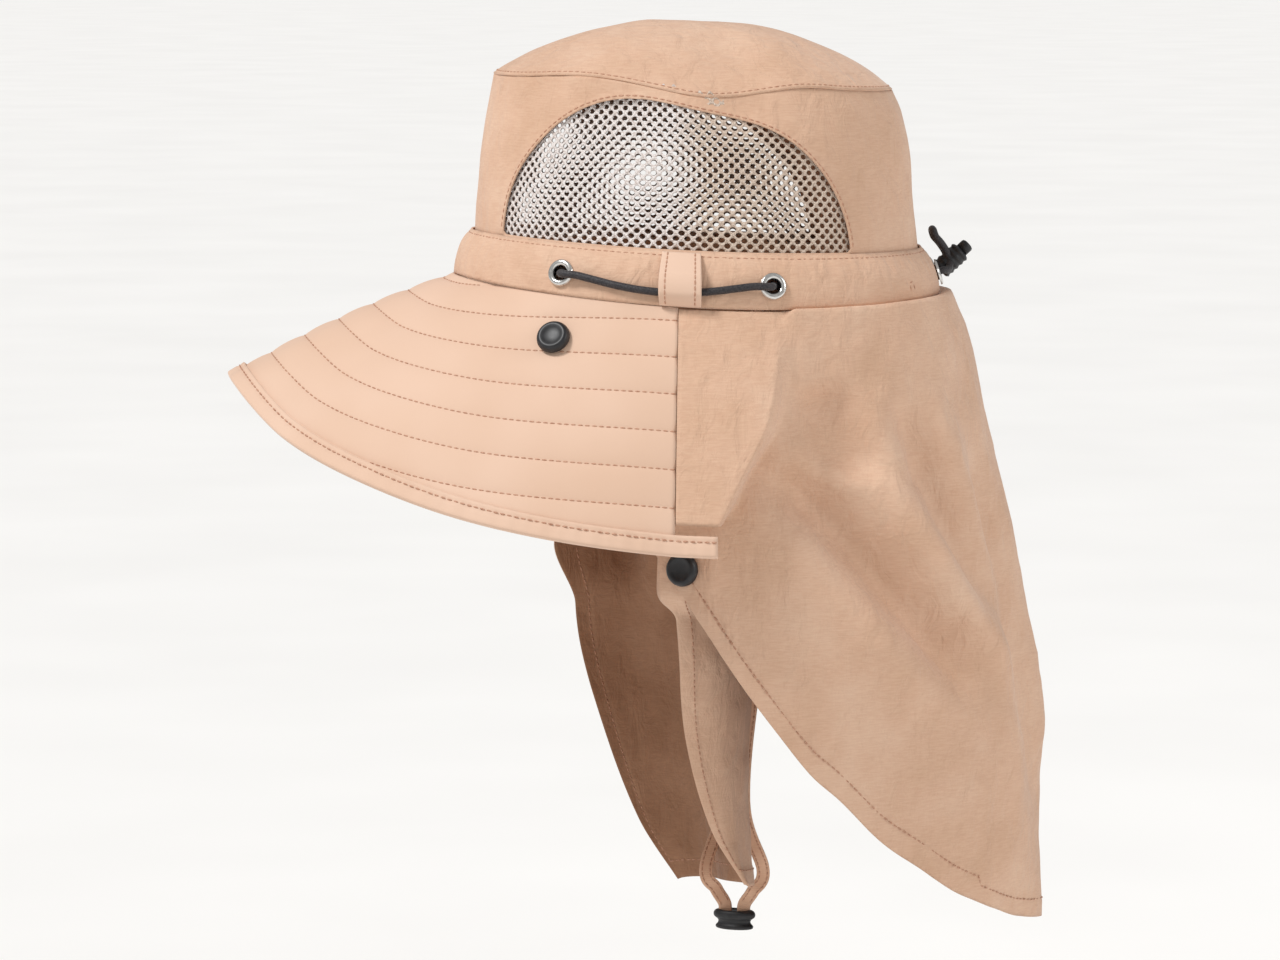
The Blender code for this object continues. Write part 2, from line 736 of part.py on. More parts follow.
def flap_point(t, drop):
    """A point of the flap: the wing in line with the peak, its fold, and the hanging part."""
    near = mirror_angle(t)
    body = body_point(t, drop)
    roll = FLAP_ROLL * smooth(drop / 0.004)
    rise = 0.0045 * smooth(drop / 0.004) * bump((drop - 0.004) / 0.004, 1.0) * smooth((near - 4.0) / 14.0)
    normal = Vector((math.cos(math.radians(t)), math.sin(math.radians(t)), 0.0))
    body += normal * roll * (1.0 - smooth(drop / 0.12))
    body.z += rise
    if drop > FOLD_DROP + 0.003 or near > 30.0:
        return body
    share = drop / FOLD_DROP
    ridge = along(RIDGE_LINE, share)
    part = smooth((ridge + RIDGE_TURN - near) / RIDGE_TURN)
    part *= 1.0 - smooth((drop - FOLD_DROP) / 0.0025)
    width_share = drop / math.sin(math.radians(PEAK_SLOPES[-1][1])) / PEAK_WIDTH
    wing = peak_point(near, width_share)
    if t > 90.0:
        wing.x = -wing.x
    return body.lerp(wing, part)


def flap_angle(u, drop, lower):
    """The angle at a share u of the way round the flap. Its columns follow the folds' ridges."""
    # It keeps clear of the peak's corners where it turns in below them
    clear = 0.3 + 1.5 * smooth((drop / FOLD_DROP - 0.45) / 0.4) * (1.0 - lower)
    start = PEAK_END + clear + (FLAP_CORNER - PEAK_END - clear) * lower
    end = 180.0 - PEAK_END - clear + (FLAP_CORNER_FAR - 180.0 + PEAK_END + clear) * lower
    ridge = along(RIDGE_LINE, drop / FOLD_DROP)
    turned_in = ridge + RIDGE_TURN
    knots = (
        (0.0, start),
        (RIDGE_COLUMN, ridge),
        (TURN_COLUMN, turned_in),
        (1.0 - TURN_COLUMN, 180.0 - turned_in),
        (1.0 - RIDGE_COLUMN, 180.0 - ridge),
        (1.0, end),
    )
    for (low, before), (high, after) in zip(knots, knots[1:]):
        if u <= high:
            return before + (after - before) * (u - low) / (high - low)
    return end


def make_flap():
    columns, rows, split = 50, 15, 8

    def point(u, v):
        row = round(v * rows)
        lower = smooth(max(row - split, 0) / 2.0)
        if row <= split:
            drop = GAP * 2 + (FOLD_DROP - GAP * 2) * (row / split) ** 1.5
            return flap_point(flap_angle(u, drop, lower), drop)
        t = flap_angle(u, FOLD_DROP, lower)
        hem = hem_drop(t)
        fold_end = min(FOLD_DROP + 0.003, hem)
        share = (row - split - 1) / (rows - split - 1)
        return flap_point(t, fold_end + (hem - fold_end) * share)

    return finish(thicken(grid("neck_flap", point, columns, rows, flip=True), FLAP_WALL), CLOTH)


def flap_normal(t, drop):
    """The outward normal of the flap's cloth."""
    return outward(t, -drop, lambda t, height: flap_point(t, -height))


def snap_patch(t, way, along_cloth, down):
    """The face cover's cloth where it lies flat behind a snap of the flap."""
    t += way * (along_cloth - SNAP_MARGIN) / FLAP_PER_DEGREE
    drop = FLAP_SNAP_DROP + down - SNAP_MARGIN
    return flap_point(t, drop) - flap_normal(t, drop) * (FLAP_WALL + GAP * 2.5 + COVER_WALL / 2)


def cover_point(across, share):
    """A point of the face cover: across goes from the near edge to the far edge."""
    near = Vector((along(COVER_LEVELS, share, 1), along(COVER_LEVELS, share, 2), 0.0))
    far = Vector((along(COVER_LEVELS, share, 3), along(COVER_LEVELS, share, 4), 0.0))
    place = near.lerp(far, 0.5 - 0.5 * math.cos(math.pi * across))
    place.y += along(COVER_LEVELS, share, 5) * math.sin(math.pi * across)
    place *= COVER_HALF
    ripple = 0.0022 * math.sin(5.0 * math.pi * across + 2.2 * share) * math.sin(math.pi * across)
    place.y += ripple
    place.z = -COVER_TOP - COVER_DROP * share - COVER_SLANT * (2.0 * across - 1.0)
    down = COVER_DROP * share
    for t, way, edge in ((FLAP_SNAP_NEAR, 1.0, across), (FLAP_SNAP_FAR, -1.0, 1.0 - across)):
        along_cloth = COVER_CLOTH * edge
        flat = 1.0 - smooth((along_cloth - 2 * SNAP_MARGIN) / SNAP_EASE)
        flat *= 1.0 - smooth((down - 2 * SNAP_MARGIN) / SNAP_EASE)
        if flat > 0.0:
            place = place.lerp(snap_patch(t, way, along_cloth, down), flat)
    return place


def make_cover():
    cover = thicken(grid("face_cover", cover_point, 26, 12), COVER_WALL)
    cover.modifiers["wall"].offset = 0.0
    return finish(cover, CLOTH)


def snap_cap(name, place, normal):
    radius, height = SNAP_DIAMETER / 2, SNAP_HEIGHT
    profile = (
        (0.0, height),
        (radius * 0.50, height * 0.95),
        (radius * 0.82, height * 0.74),
        (radius, height * 0.34),
        (radius * 0.96, 0.0),
        (0.0, 0.0),
    )
    cap = turned(name, profile, SNAP_SIDES)
    finish(seat(cap, place + normal * GAP, normal), BLACK_PLASTIC)


def make_snaps():
    for word, side in (("left", 1), ("right", -1)):
        t = PEAK_SNAP_ANGLE
        place = peak_point(t, PEAK_SNAP_REACH)
        down = peak_point(t, PEAK_SNAP_REACH - 0.02) - peak_point(t, PEAK_SNAP_REACH + 0.02)
        normal = (peak_point(t + 1.0, PEAK_SNAP_REACH) - peak_point(t - 1.0, PEAK_SNAP_REACH)).cross(down)
        snap_cap("peak_snap_" + word, to_side(place, side), to_side(normal.normalized(), side))
    # The flap's snaps sit on its corners and carry the face cover on a stud behind the cloth
    for word, t in (("left", FLAP_SNAP_NEAR), ("right", FLAP_SNAP_FAR)):
        normal = flap_normal(t, FLAP_SNAP_DROP)
        place = flap_point(t, FLAP_SNAP_DROP)
        snap_cap("flap_snap_" + word, place + normal * GAP, normal)
        radius = STUD_DIAMETER / 2
        stud = turned("snap_stud_" + word, ring_blank(radius, STUD_HEIGHT / 2), 12)
        back = FLAP_WALL + COVER_WALL + GAP * 5 + STUD_HEIGHT / 2
        finish(seat(stud, place - normal * back, normal), BLACK_PLASTIC)


def strap_route(side):
    """One run of the chin strap, from inside the crown down to its lock."""
    top = crown_point(STRAP_ANGLE, 0.004, -CROWN_WALL - GAP * 2 - STRAP_WALL)
    lock = Vector(CHIN_LOCK_PLACE)
    knots = [
        Vector((top.x, top.y, top.z + 0.004)),
        Vector((top.x * 0.985, top.y, top.z - 0.010)),
        Vector((top.x * 0.72, top.y + 0.004, -0.085)),
        Vector((top.x * 0.45, top.y + 0.004, -0.175)),
        Vector((0.0250, top.y - 0.002, -0.235)),
        Vector((0.0160, lock.y + 0.0120, lock.z + 0.0260)),
        Vector((0.0110, lock.y + 0.0065, lock.z + 0.0135)),
        Vector((STRAP_HOLES + 0.0006, lock.y, lock.z + 0.0070)),
        Vector((STRAP_HOLES, lock.y, lock.z + 0.0032)),
        Vector((STRAP_HOLES, lock.y, lock.z + 0.0014)),
    ]
    return [to_side(knot, side) for knot in rounded(knots, 3, False)]


def make_strap():
    lock = Vector(CHIN_LOCK_PLACE)
    length, width, height = CHIN_LOCK_LENGTH, CHIN_LOCK_WIDTH, CHIN_LOCK_HEIGHT
    # Height as a share of the lock's, girth as a share of its length and width
    rows = ((0.5, 0.72), (0.38, 0.96), (0.12, 1.0), (0.0, 0.84), (-0.28, 0.84), (-0.36, 0.90), (-0.5, 0.82))

    def oval(u, v):
        last = len(rows) - 1
        share, girth = rows[min(max(round(v * (last + 2)) - 1, 0), last)]
        if v < 1e-6 or v > 1.0 - 1e-6:
            girth = 0.0
        a = 2 * math.pi * u
        x, y = length / 2 * girth * math.cos(a), width / 2 * girth * math.sin(a)
        return lock + Vector((x, y, height * share))

    body = grid("chin_lock", oval, 18, len(rows) + 1, flip=True, close=True)
    for word, side in (("left", 1), ("right", -1)):
        bpy.ops.mesh.primitive_cube_add(size=1.0)
        slot = bpy.context.active_object
        slot.name = "strap_slot_" + word
        slot.data.transform(Matrix.Diagonal((STRAP_WALL + GAP * 4, STRAP_WIDTH + GAP * 2, height * 0.8, 1.0)))
        slot.location = (side * STRAP_HOLES, lock.y, lock.z + height * 0.5)
        for holder in list(slot.users_collection):
            holder.objects.unlink(slot)
        cut(body, cutter(slot))
        route = strap_route(side)

        def point(u, v, route=route, side=side):
            k = round(v * (len(route) - 1))
            along_run = route[min(k + 1, len(route) - 1)] - route[max(k - 1, 0)]
            hem_way = Vector((-side * math.sin(math.radians(STRAP_ANGLE)), 1.0, 0.0))
            flat = hem_way.lerp(Vector((0.0, 1.0, 0.0)), smooth(v * 2.0)).normalized()
            flat -= along_run * (flat.dot(along_run) / along_run.length_squared)
            return route[k] + flat.normalized() * STRAP_WIDTH * (u - 0.5)

        ribbon = grid("chin_strap_" + word, point, 2, len(route) - 1, flip=side > 0)
        solid = thicken(ribbon, STRAP_WALL)
        solid.modifiers["wall"].offset = 0.0
        finish(solid, CLOTH)
    finish(body, BLACK_PLASTIC)


clear_scene()
HAT = collection("ranger_hat")
CUTTERS = collection("cutters")
make_crown()
make_band()
make_eyelets()
make_cord_lock(make_cord())
make_loops()
make_peak()
make_flap()
make_cover()
make_snaps()
make_strap()
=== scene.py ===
"""The finished look of a soft ranger hat with a neck flap, a face cover and a chin strap.

Metres, +Z up. The peak points to -Y and the wearer's left is +X. Round the hat, the angle t starts
at the wearer's left and grows towards the back, so the front is at -90 degrees.
"""

import math

import bmesh
import bpy
from mathutils import Matrix, Vector, noise


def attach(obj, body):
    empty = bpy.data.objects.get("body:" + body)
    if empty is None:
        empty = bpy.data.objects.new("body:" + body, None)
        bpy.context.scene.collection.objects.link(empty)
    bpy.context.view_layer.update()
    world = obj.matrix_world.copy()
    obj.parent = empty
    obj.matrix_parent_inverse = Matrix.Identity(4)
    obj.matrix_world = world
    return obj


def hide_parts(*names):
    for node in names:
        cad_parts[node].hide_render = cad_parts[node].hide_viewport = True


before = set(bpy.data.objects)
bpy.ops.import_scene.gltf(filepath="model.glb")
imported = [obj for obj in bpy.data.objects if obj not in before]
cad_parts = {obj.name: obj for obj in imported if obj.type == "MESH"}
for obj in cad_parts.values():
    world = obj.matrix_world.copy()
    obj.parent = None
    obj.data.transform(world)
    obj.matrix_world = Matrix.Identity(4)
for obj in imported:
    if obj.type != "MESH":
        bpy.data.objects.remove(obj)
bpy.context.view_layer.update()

# The photograph's view: degrees round and above, distance, lens, and where its middle lies
VIEW_ROUND, VIEW_ABOVE = 84.0, 6.0
VIEW_DISTANCE = 2.5
VIEW_LENS = 155.0
MIDDLE_ACROSS, MIDDLE_UP = -0.0250, -0.0905  # from the origin, across the picture and up it

# Crown
HALF_LENGTH = 0.1010
HALF_WIDTH = 0.0850
CROWN_RISE = 0.0900
TIP_RISE = 0.0270
LEAN = 0.042
SIDE_DIP = 0.0060
GAP = 0.0003
CLOTH = 0.0008  # a light woven cloth
# Share of the crown's rise; girth as a share of the half length and width; shift towards the back
# as a share of the half length; how much of the side dip is left
CROWN_LEVELS = (
    (0.00, 1.000, 0.010, 1.00),
    (0.22, 1.000, 0.012, 0.35),
    (0.50, 0.980, 0.010, 0.15),
    (0.72, 0.955, 0.008, 0.05),
    (0.90, 0.920, 0.002, 0.00),
    (1.00, 0.890, -0.010, 0.00),
)
# Soft dents of the crown wall: angle, share of the rise, depth, reach round the hat, reach up
DENTS = (
    (-62.0, 0.80, 0.0022, 13.0, 0.20),
    (-28.0, 0.90, 0.0018, 16.0, 0.14),
    (8.0, 0.93, 0.0026, 11.0, 0.16),
    (52.0, 0.62, 0.0024, 12.0, 0.34),
    (84.0, 0.45, 0.0020, 13.0, 0.30),
    (128.0, 0.70, 0.0026, 14.0, 0.26),
    (172.0, 0.90, 0.0024, 15.0, 0.16),
    (236.0, 0.72, 0.0024, 14.0, 0.24),
)
TIP_DENTS = (
    (8.0, 0.72, 0.0030, 16.0, 0.20),
    (-100.0, 0.55, 0.0020, 24.0, 0.25),
    (150.0, 0.60, 0.0024, 22.0, 0.25),
)

# Mesh windows
WINDOW_MIDDLE = -14.0
WINDOW_HALF_SPAN = 50.5
WINDOW_RISE = 0.0640
WINDOW_FOOT = 0.0205
NET_PITCH = 0.00513  # between holes of a row
NET_ROW = 0.00226  # between rows, which are staggered
NET_HOLE = (0.00158, 0.00108)  # half width and half height of a hole
NET_WALL = 0.0007

# Band
BAND_HEIGHT = 0.0200
BAND_STITCHING = 0.0183  # height of the row of stitches below its upper fold
BAND_FLARE = 0.0080
BAND_WALL = 0.0012
BAND_PROFILE = ((0.0, 1.0), (0.3, 0.90), (0.6, 0.66), (0.85, 0.30), (1.0, 0.0))

# Elastic cord, eyelets, loops and the lock at the back
CORD_DIAMETER = 0.0034
CORD_HEIGHT = 0.0085
CORD_SAG = 0.0035
EYELET_HOLE = 0.0064
EYELET_FLANGE = 0.0120
EYELET_FRONT = -39.0
EYELET_BACK = 12.0
EYELET_REAR = 83.0
LOOP_ANGLE = -9.5
LOOP_WIDTH = 0.0165
LOOP_WALL = 0.0010
LOCK_DIAMETER = 0.0100
LOCK_LENGTH = 0.0135
LOCK_TILT = 42.0
LOCK_BUTTON_DIAMETER = 0.0062
LOCK_BUTTON_LENGTH = 0.0045
REAR_LOOP_RISE = 0.0185
REAR_RUNS = 0.0050

# Peak
PEAK_WIDTH = 0.1120
PEAK_WALL = 0.0025
PEAK_END = -10.0
PEAK_CURL = 14.0
PEAK_SLOPES = (
    (0.00, 24.0),
    (0.06, 25.4),
    (0.12, 29.8),
    (0.19, 37.0),
    (0.375, 48.0),
    (0.56, 58.0),
    (0.75, 64.5),
    (1.00, 70.0),
)
QUILT_FIRST = 0.045  # share of the width at which the first stitched row meets the front
QUILT_STEP = 0.152
QUILT_SHIFT = 0.145  # by how much the rows lie further in at the end seams
QUILT_DEPTH = 0.0011
BINDING_WIDTH = 0.0090
BINDING_WALL = 0.0010
BINDING_RUN_ON = 7.5

# Neck flap
FLAP_DROP = 0.2950
FLAP_WALL = 0.0012
FLAP_ROLL = 0.0045
FOLD_DROP = 0.0925
FLAP_CORNER = -12.0
FLAP_CORNER_FAR = 205.0
CORNER_TUCK = 0.0110
FLAP_LEVELS = (
    (0.00, 1.000, 1.000),
    (0.05, 1.020, 1.085),
    (0.12, 1.030, 1.150),
    (0.25, 1.060, 1.225),
    (0.42, 1.120, 1.320),
    (0.57, 1.120, 1.390),
    (0.70, 1.040, 1.445),
    (0.83, 0.960, 1.460),
    (0.92, 0.830, 1.465),
    (1.00, 0.560, 1.470),
)
FLAP_HEM = (
    (-12.0, 0.375),
    (-7.0, 0.440),
    (-3.0, 0.495),
    (3.0, 0.576),
    (9.0, 0.651),
    (15.0, 0.722),
    (20.0, 0.763),
    (28.0, 0.834),
    (36.0, 0.881),
    (44.0, 0.924),
    (55.0, 0.961),
    (66.0, 0.986),
    (90.0, 1.000),
)
RIDGE_LINE = ((0.0, 13.0), (0.5, 8.0), (0.8, 1.5), (1.0, -2.5))
RIDGE_TURN = 4.5
FOLD_DEPTH = 1.7  # how much deeper the folds are than in the solid
FLAP_FOLDS = (
    (8.0, 0.20, 50.0, 0.60, 0.0075, 8.0),
    (36.0, 0.10, 58.0, 0.50, 0.0050, 6.0),
    (62.0, 0.16, 78.0, 0.80, 0.0040, 8.0),
    (20.0, 0.10, 26.0, 0.26, 0.0050, 8.0),
    (104.0, 0.12, 98.0, 0.78, 0.0040, 8.0),
    (128.0, 0.10, 118.0, 0.62, 0.0060, 8.0),
    (166.0, 0.18, 134.0, 0.62, 0.0070, 9.0),
)
HEM_WIDTH = 0.0086

# Face cover
COVER_TOP = 0.1080
COVER_DROP = 0.1680
COVER_HALF = 0.1000
COVER_WALL = 0.0012
COVER_CLOTH = 0.2200
SNAP_MARGIN = 0.0085
SNAP_EASE = 0.0260
FLAP_PER_DEGREE = 0.00183
COVER_SLANT = 0.0065
COVER_LEVELS = (
    (0.00, 0.905, -0.22, -0.805, -0.47, 0.55),
    (0.32, 0.83, -0.17, -0.84, -0.46, 0.52),
    (0.58, 0.67, -0.12, -0.65, -0.36, 0.44),
    (0.84, 0.54, 0.01, -0.52, -0.20, 0.28),
    (1.00, 0.47, 0.17, -0.42, -0.03, 0.11),
)

# Snaps
SNAP_DIAMETER = 0.0150
SNAP_HEIGHT = 0.0042
STUD_DIAMETER = 0.0090
STUD_HEIGHT = 0.0024
FLAP_SNAP_DROP = 0.1195
FLAP_SNAP_NEAR = -6.5
FLAP_SNAP_FAR = 198.8
PEAK_SNAP_ANGLE = -37.0
PEAK_SNAP_REACH = 0.19

# Chin strap
STRAP_WIDTH = 0.0060
STRAP_WALL = 0.0012
STRAP_ANGLE = 22.0
CHIN_LOCK_PLACE = (0.0, 0.0185, -0.2940)
LOCK_TURN = 62.0  # degrees that the hanging lock is turned
CHIN_LOCK_LENGTH = 0.0205
CHIN_LOCK_WIDTH = 0.0110
CHIN_LOCK_HEIGHT = 0.0090
STRAP_HOLES = 0.0048

STITCH_PITCH = 0.0031
STITCH_LENGTH = 0.0022
THREAD = 0.00030  # half of the sewing thread's thickness


def smooth(x):
    x = min(max(x, 0.0), 1.0)
    return x * x * (3.0 - 2.0 * x)


def along(table, x, column=1):
    """Reads a column of a table at x, on a smooth curve through its rows."""
    last = len(table) - 1
    x = min(max(x, table[0][0]), table[last][0])
    k = 0
    while k < last - 1 and x > table[k + 1][0]:
        k += 1

    def tangent(j):
        low, high = table[max(j - 1, 0)], table[min(j + 1, last)]
        return (high[column] - low[column]) / (high[0] - low[0])

    a, b = table[k], table[k + 1]
    span = b[0] - a[0]
    s = (x - a[0]) / span
    rise = b[column] - a[column]
    start, end = tangent(k) * span, tangent(k + 1) * span
    curve = s * s * (3 - 2 * s) * rise + (s**3 - 2 * s * s + s) * start + (s**3 - s * s) * end
    return a[column] + curve


def bump(x, half):
    return math.exp(-((x / half) ** 2))


def turn_between(a, b):
    return (a - b + 180.0) % 360.0 - 180.0


def crumple(place, size, seed=0.0):
    """Soft creases of light cloth about a size across, from -1 to 1, sharper at their ridges."""
    spot = Vector(place) / size + Vector((seed, seed * 1.7, seed * 0.6))
    soft = noise.noise(spot)
    sharp = 0.5 - 1.6 * abs(noise.noise(spot * 0.8 + Vector((7.3, 1.1, 4.2))))
    return 0.6 * soft + 0.4 * sharp


def rim_height(t, y, dip_left=1.0):
    return -LEAN * y - SIDE_DIP * dip_left * math.cos(math.radians(t)) ** 2


def crown_point(t, height, out=0.0):
    """A point of the crown's outer face, at a height above its lower edge."""
    share = height / CROWN_RISE
    girth = along(CROWN_LEVELS, share, 1)
    shift = along(CROWN_LEVELS, share, 2) * HALF_LENGTH
    for angle, rise, depth, reach, reach_up in DENTS:
        out -= depth * bump(turn_between(t, angle), reach) * bump(share - rise, reach_up)
    a = math.radians(t)
    x = (HALF_WIDTH * girth + out) * math.cos(a)
    y = (HALF_LENGTH * girth + out) * math.sin(a) + shift
    return Vector((x, y, height + rim_height(t, y, along(CROWN_LEVELS, share, 3))))


def band_point(t, height, out=0.0):
    flare = along(BAND_PROFILE, height / BAND_HEIGHT) * BAND_FLARE
    return crown_point(t, height, GAP + BAND_WALL + flare + out)


def outward(t, height, face):
    """The outward normal of a face of t and height."""
    round_the_hat = face(t + 0.5, height) - face(t - 0.5, height)
    up = face(t, height + 0.001) - face(t, height - 0.001)
    return round_the_hat.cross(up).normalized()


def to_side(point, side):
    return Vector((side * point.x, point.y, point.z))


def rounded(points, per_span, closed=False):
    """Points on a smooth curve through the given ones."""
    count = len(points)
    spans = count if closed else count - 1
    result = []
    for k in range(spans):
        four = []
        for j in (k - 1, k, k + 1, k + 2):
            four.append(points[j % count] if closed else points[min(max(j, 0), count - 1)])
        a, b, c, d = four
        for i in range(per_span):
            s = i / per_span
            curve = 2 * b + (c - a) * s + (2 * a - 5 * b + 4 * c - d) * s * s
            result.append((curve + (3 * b - a - 3 * c + d) * s**3) / 2)
    if not closed:
        result.append(points[-1])
    return result


def hexcolour(code):
    """An sRGB hex value as linear colour."""
    parts = [int(code[i : i + 2], 16) / 255 for i in (1, 3, 5)]
    linear = [c / 12.92 if c <= 0.04045 else ((c + 0.055) / 1.055) ** 2.4 for c in parts]
    return (*linear, 1.0)


def add(tree, kind, inputs=None, **settings):
    """Adds a node with its settings, its sockets' values and what feeds them."""
    node = tree.nodes.new(kind)
    for name, value in settings.items():
        setattr(node, name, value)
    for socket, value in (inputs or {}).items():
        if isinstance(value, bpy.types.NodeSocket):
            tree.links.new(value, node.inputs[socket])
        else:
            node.inputs[socket].default_value = value
    return node


def new_material(name):
    """An empty material: its node tree, its shader, and object coordinates in millimetres."""
    material = bpy.data.materials.new(name)
    material.use_nodes = True
    tree = material.node_tree
    shader = tree.nodes["Principled BSDF"]
    place = add(tree, "ShaderNodeTexCoord").outputs["Object"]
    mm = add(tree, "ShaderNodeVectorMath", {0: place, 1: (1000.0, 1000.0, 1000.0)}, operation="MULTIPLY")
    return material, tree, shader, mm.outputs[0]


def shades(tree, factor, *stops):
    """A colour ramp of (position, hex) stops."""
    ramp = add(tree, "ShaderNodeValToRGB", {"Fac": factor})
    for i, (position, code) in enumerate(stops):
        stop = ramp.color_ramp.elements[i] if i < 2 else ramp.color_ramp.elements.new(position)
        stop.position = position
        stop.color = hexcolour(code)
    return ramp.outputs["Color"]


def crinkled_polyester(name, deep, middle, pale):
    """Plain-woven polyester with a crinkled finish: matt, with a faint sheen and a fine crepe."""
    material, tree, shader, mm = new_material(name)
    broad = add(tree, "ShaderNodeTexNoise", {"Vector": mm, "Scale": 1 / 45, "Detail": 3.0, "Roughness": 0.55})
    colour = shades(tree, broad.outputs["Fac"], (0.30, deep), (0.72, pale), (0.5, middle))
    # The slubs of the weft, 6 mm long and 0.5 mm high
    run = add(tree, "ShaderNodeMapping", {"Vector": mm, "Scale": (1 / 5, 1 / 5, 1 / 0.55)})
    slub = add(tree, "ShaderNodeTexNoise", {"Vector": run.outputs[0], "Scale": 1.0, "Detail": 2.0})
    tone = add(
        tree,
        "ShaderNodeMix",
        {0: 0.16, 6: colour, 7: shades(tree, slub.outputs["Fac"], (0.35, "#a87a5c"), (0.65, "#ffe6cf"))},
        data_type="RGBA",
        blend_type="SOFT_LIGHT",
    )
    tree.links.new(tone.outputs[2], shader.inputs["Base Color"])
    # Crepe about 9 mm across with finer creases in it, and the threads, drawn at 0.6 mm to show
    warp = add(
        tree,
        "ShaderNodeMapping",
        {"Vector": mm, "Rotation": (0.5, 0.35, 0.2), "Scale": (1 / 9, 1 / 9, 1 / 16)},
    )
    crepe = add(
        tree,
        "ShaderNodeTexNoise",
        {"Vector": warp.outputs[0], "Scale": 1.0, "Detail": 4.0, "Roughness": 0.55, "Distortion": 0.6},
    )
    threads = add(tree, "ShaderNodeTexNoise", {"Vector": run.outputs[0], "Scale": 2.2, "Detail": 1.0})
    low = add(
        tree,
        "ShaderNodeBump",
        {"Height": crepe.outputs["Fac"], "Strength": 0.8, "Distance": 0.0022},
    )
    fine = add(
        tree,
        "ShaderNodeBump",
        {"Height": threads.outputs["Fac"], "Strength": 0.35, "Distance": 0.00010, "Normal": low.outputs[0]},
    )
    tree.links.new(fine.outputs[0], shader.inputs["Normal"])
    shader.inputs["Roughness"].default_value = 0.72
    shader.inputs["IOR"].default_value = 1.45
    shader.inputs["Specular IOR Level"].default_value = 0.30
    shader.inputs["Sheen Weight"].default_value = 0.18
    shader.inputs["Sheen Roughness"].default_value = 0.45
    return material


def smooth_polyester():
    """The same cloth drawn tight over the peak's board, without crepe, and lighter: painted light for the
    flatter cloth.
    """
    material, tree, shader, mm = new_material("smooth_polyester")
    broad = add(tree, "ShaderNodeTexNoise", {"Vector": mm, "Scale": 1 / 60, "Detail": 2.0})
    # Lighter than the crinkled cloth: painted light
    colour = shades(tree, broad.outputs["Fac"], (0.30, "#d9b69d"), (0.70, "#e0bfa8"))
    tree.links.new(colour, shader.inputs["Base Color"])
    # Threads, drawn at 0.6 mm to show, and a faint unevenness of the padding 14 mm across
    pad = add(tree, "ShaderNodeTexNoise", {"Vector": mm, "Scale": 1 / 14, "Detail": 3.0})
    low = add(tree, "ShaderNodeBump", {"Height": pad.outputs["Fac"], "Strength": 0.35, "Distance": 0.0006})
    threads = add(tree, "ShaderNodeTexNoise", {"Vector": mm, "Scale": 1 / 0.6, "Detail": 1.0})
    fine = add(
        tree,
        "ShaderNodeBump",
        {"Height": threads.outputs["Fac"], "Strength": 0.3, "Distance": 0.00008, "Normal": low.outputs[0]},
    )
    tree.links.new(fine.outputs[0], shader.inputs["Normal"])
    shader.inputs["Roughness"].default_value = 0.70
    shader.inputs["Specular IOR Level"].default_value = 0.30
    shader.inputs["Sheen Weight"].default_value = 0.18
    return material


def knitted_mesh(name, pale, deep):
    """Warp-knitted polyester net: bright filament loops, whiter towards the front as painted light and beiger
    towards the back as painted shade.
    """
    material, tree, shader, mm = new_material(name)
    # Painted light and shade: paler towards the front, beiger towards the back, over a wavy boundary
    parts = add(tree, "ShaderNodeSeparateXYZ", {"Vector": mm})
    edge = add(tree, "ShaderNodeTexNoise", {"Vector": mm, "Scale": 1 / 18, "Detail": 2.0})
    shifted = add(
        tree,
        "ShaderNodeMath",
        {0: edge.outputs["Fac"], 1: 22.0, 2: parts.outputs["Y"]},
        operation="MULTIPLY_ADD",
    )
    front = add(
        tree,
        "ShaderNodeMapRange",
        {"Value": shifted.outputs[0], "From Min": -16.0, "From Max": 14.0},
    )
    colour = shades(tree, front.outputs["Result"], (0.25, pale), (0.75, deep))
    # Loops of the knit, 0.9 mm long, darker between the loops as painted shade of the gaps
    loops = add(tree, "ShaderNodeTexVoronoi", {"Vector": mm, "Scale": 1 / 0.8})
    dark = shades(tree, loops.outputs["Distance"], (0.25, "#ffffff"), (0.75, "#a58d7c"))
    tone = add(tree, "ShaderNodeMix", {0: 0.55, 6: colour, 7: dark}, data_type="RGBA", blend_type="MULTIPLY")
    tree.links.new(tone.outputs[2], shader.inputs["Base Color"])
    relief = add(
        tree,
        "ShaderNodeBump",
        {"Height": loops.outputs["Distance"], "Strength": 0.8, "Distance": -0.0004},
    )
    tree.links.new(relief.outputs[0], shader.inputs["Normal"])
    shader.inputs["Roughness"].default_value = 0.55
    shader.inputs["Sheen Weight"].default_value = 0.25
    return material


def sewing_thread():
    """Twisted polyester thread, a little pinker than the cloth and slightly glossy; it is darker than the
    cloth as painted shade of the grooves that the stitches sit in.
    """
    material, tree, shader, mm = new_material("sewing_thread")
    twist = add(tree, "ShaderNodeTexNoise", {"Vector": mm, "Scale": 1 / 0.8, "Detail": 1.0})
    # Darker than the cloth: painted shade of the stitches' grooves
    colour = shades(tree, twist.outputs["Fac"], (0.30, "#a9765c"), (0.70, "#c99c82"))
    tree.links.new(colour, shader.inputs["Base Color"])
    shader.inputs["Roughness"].default_value = 0.50
    return material


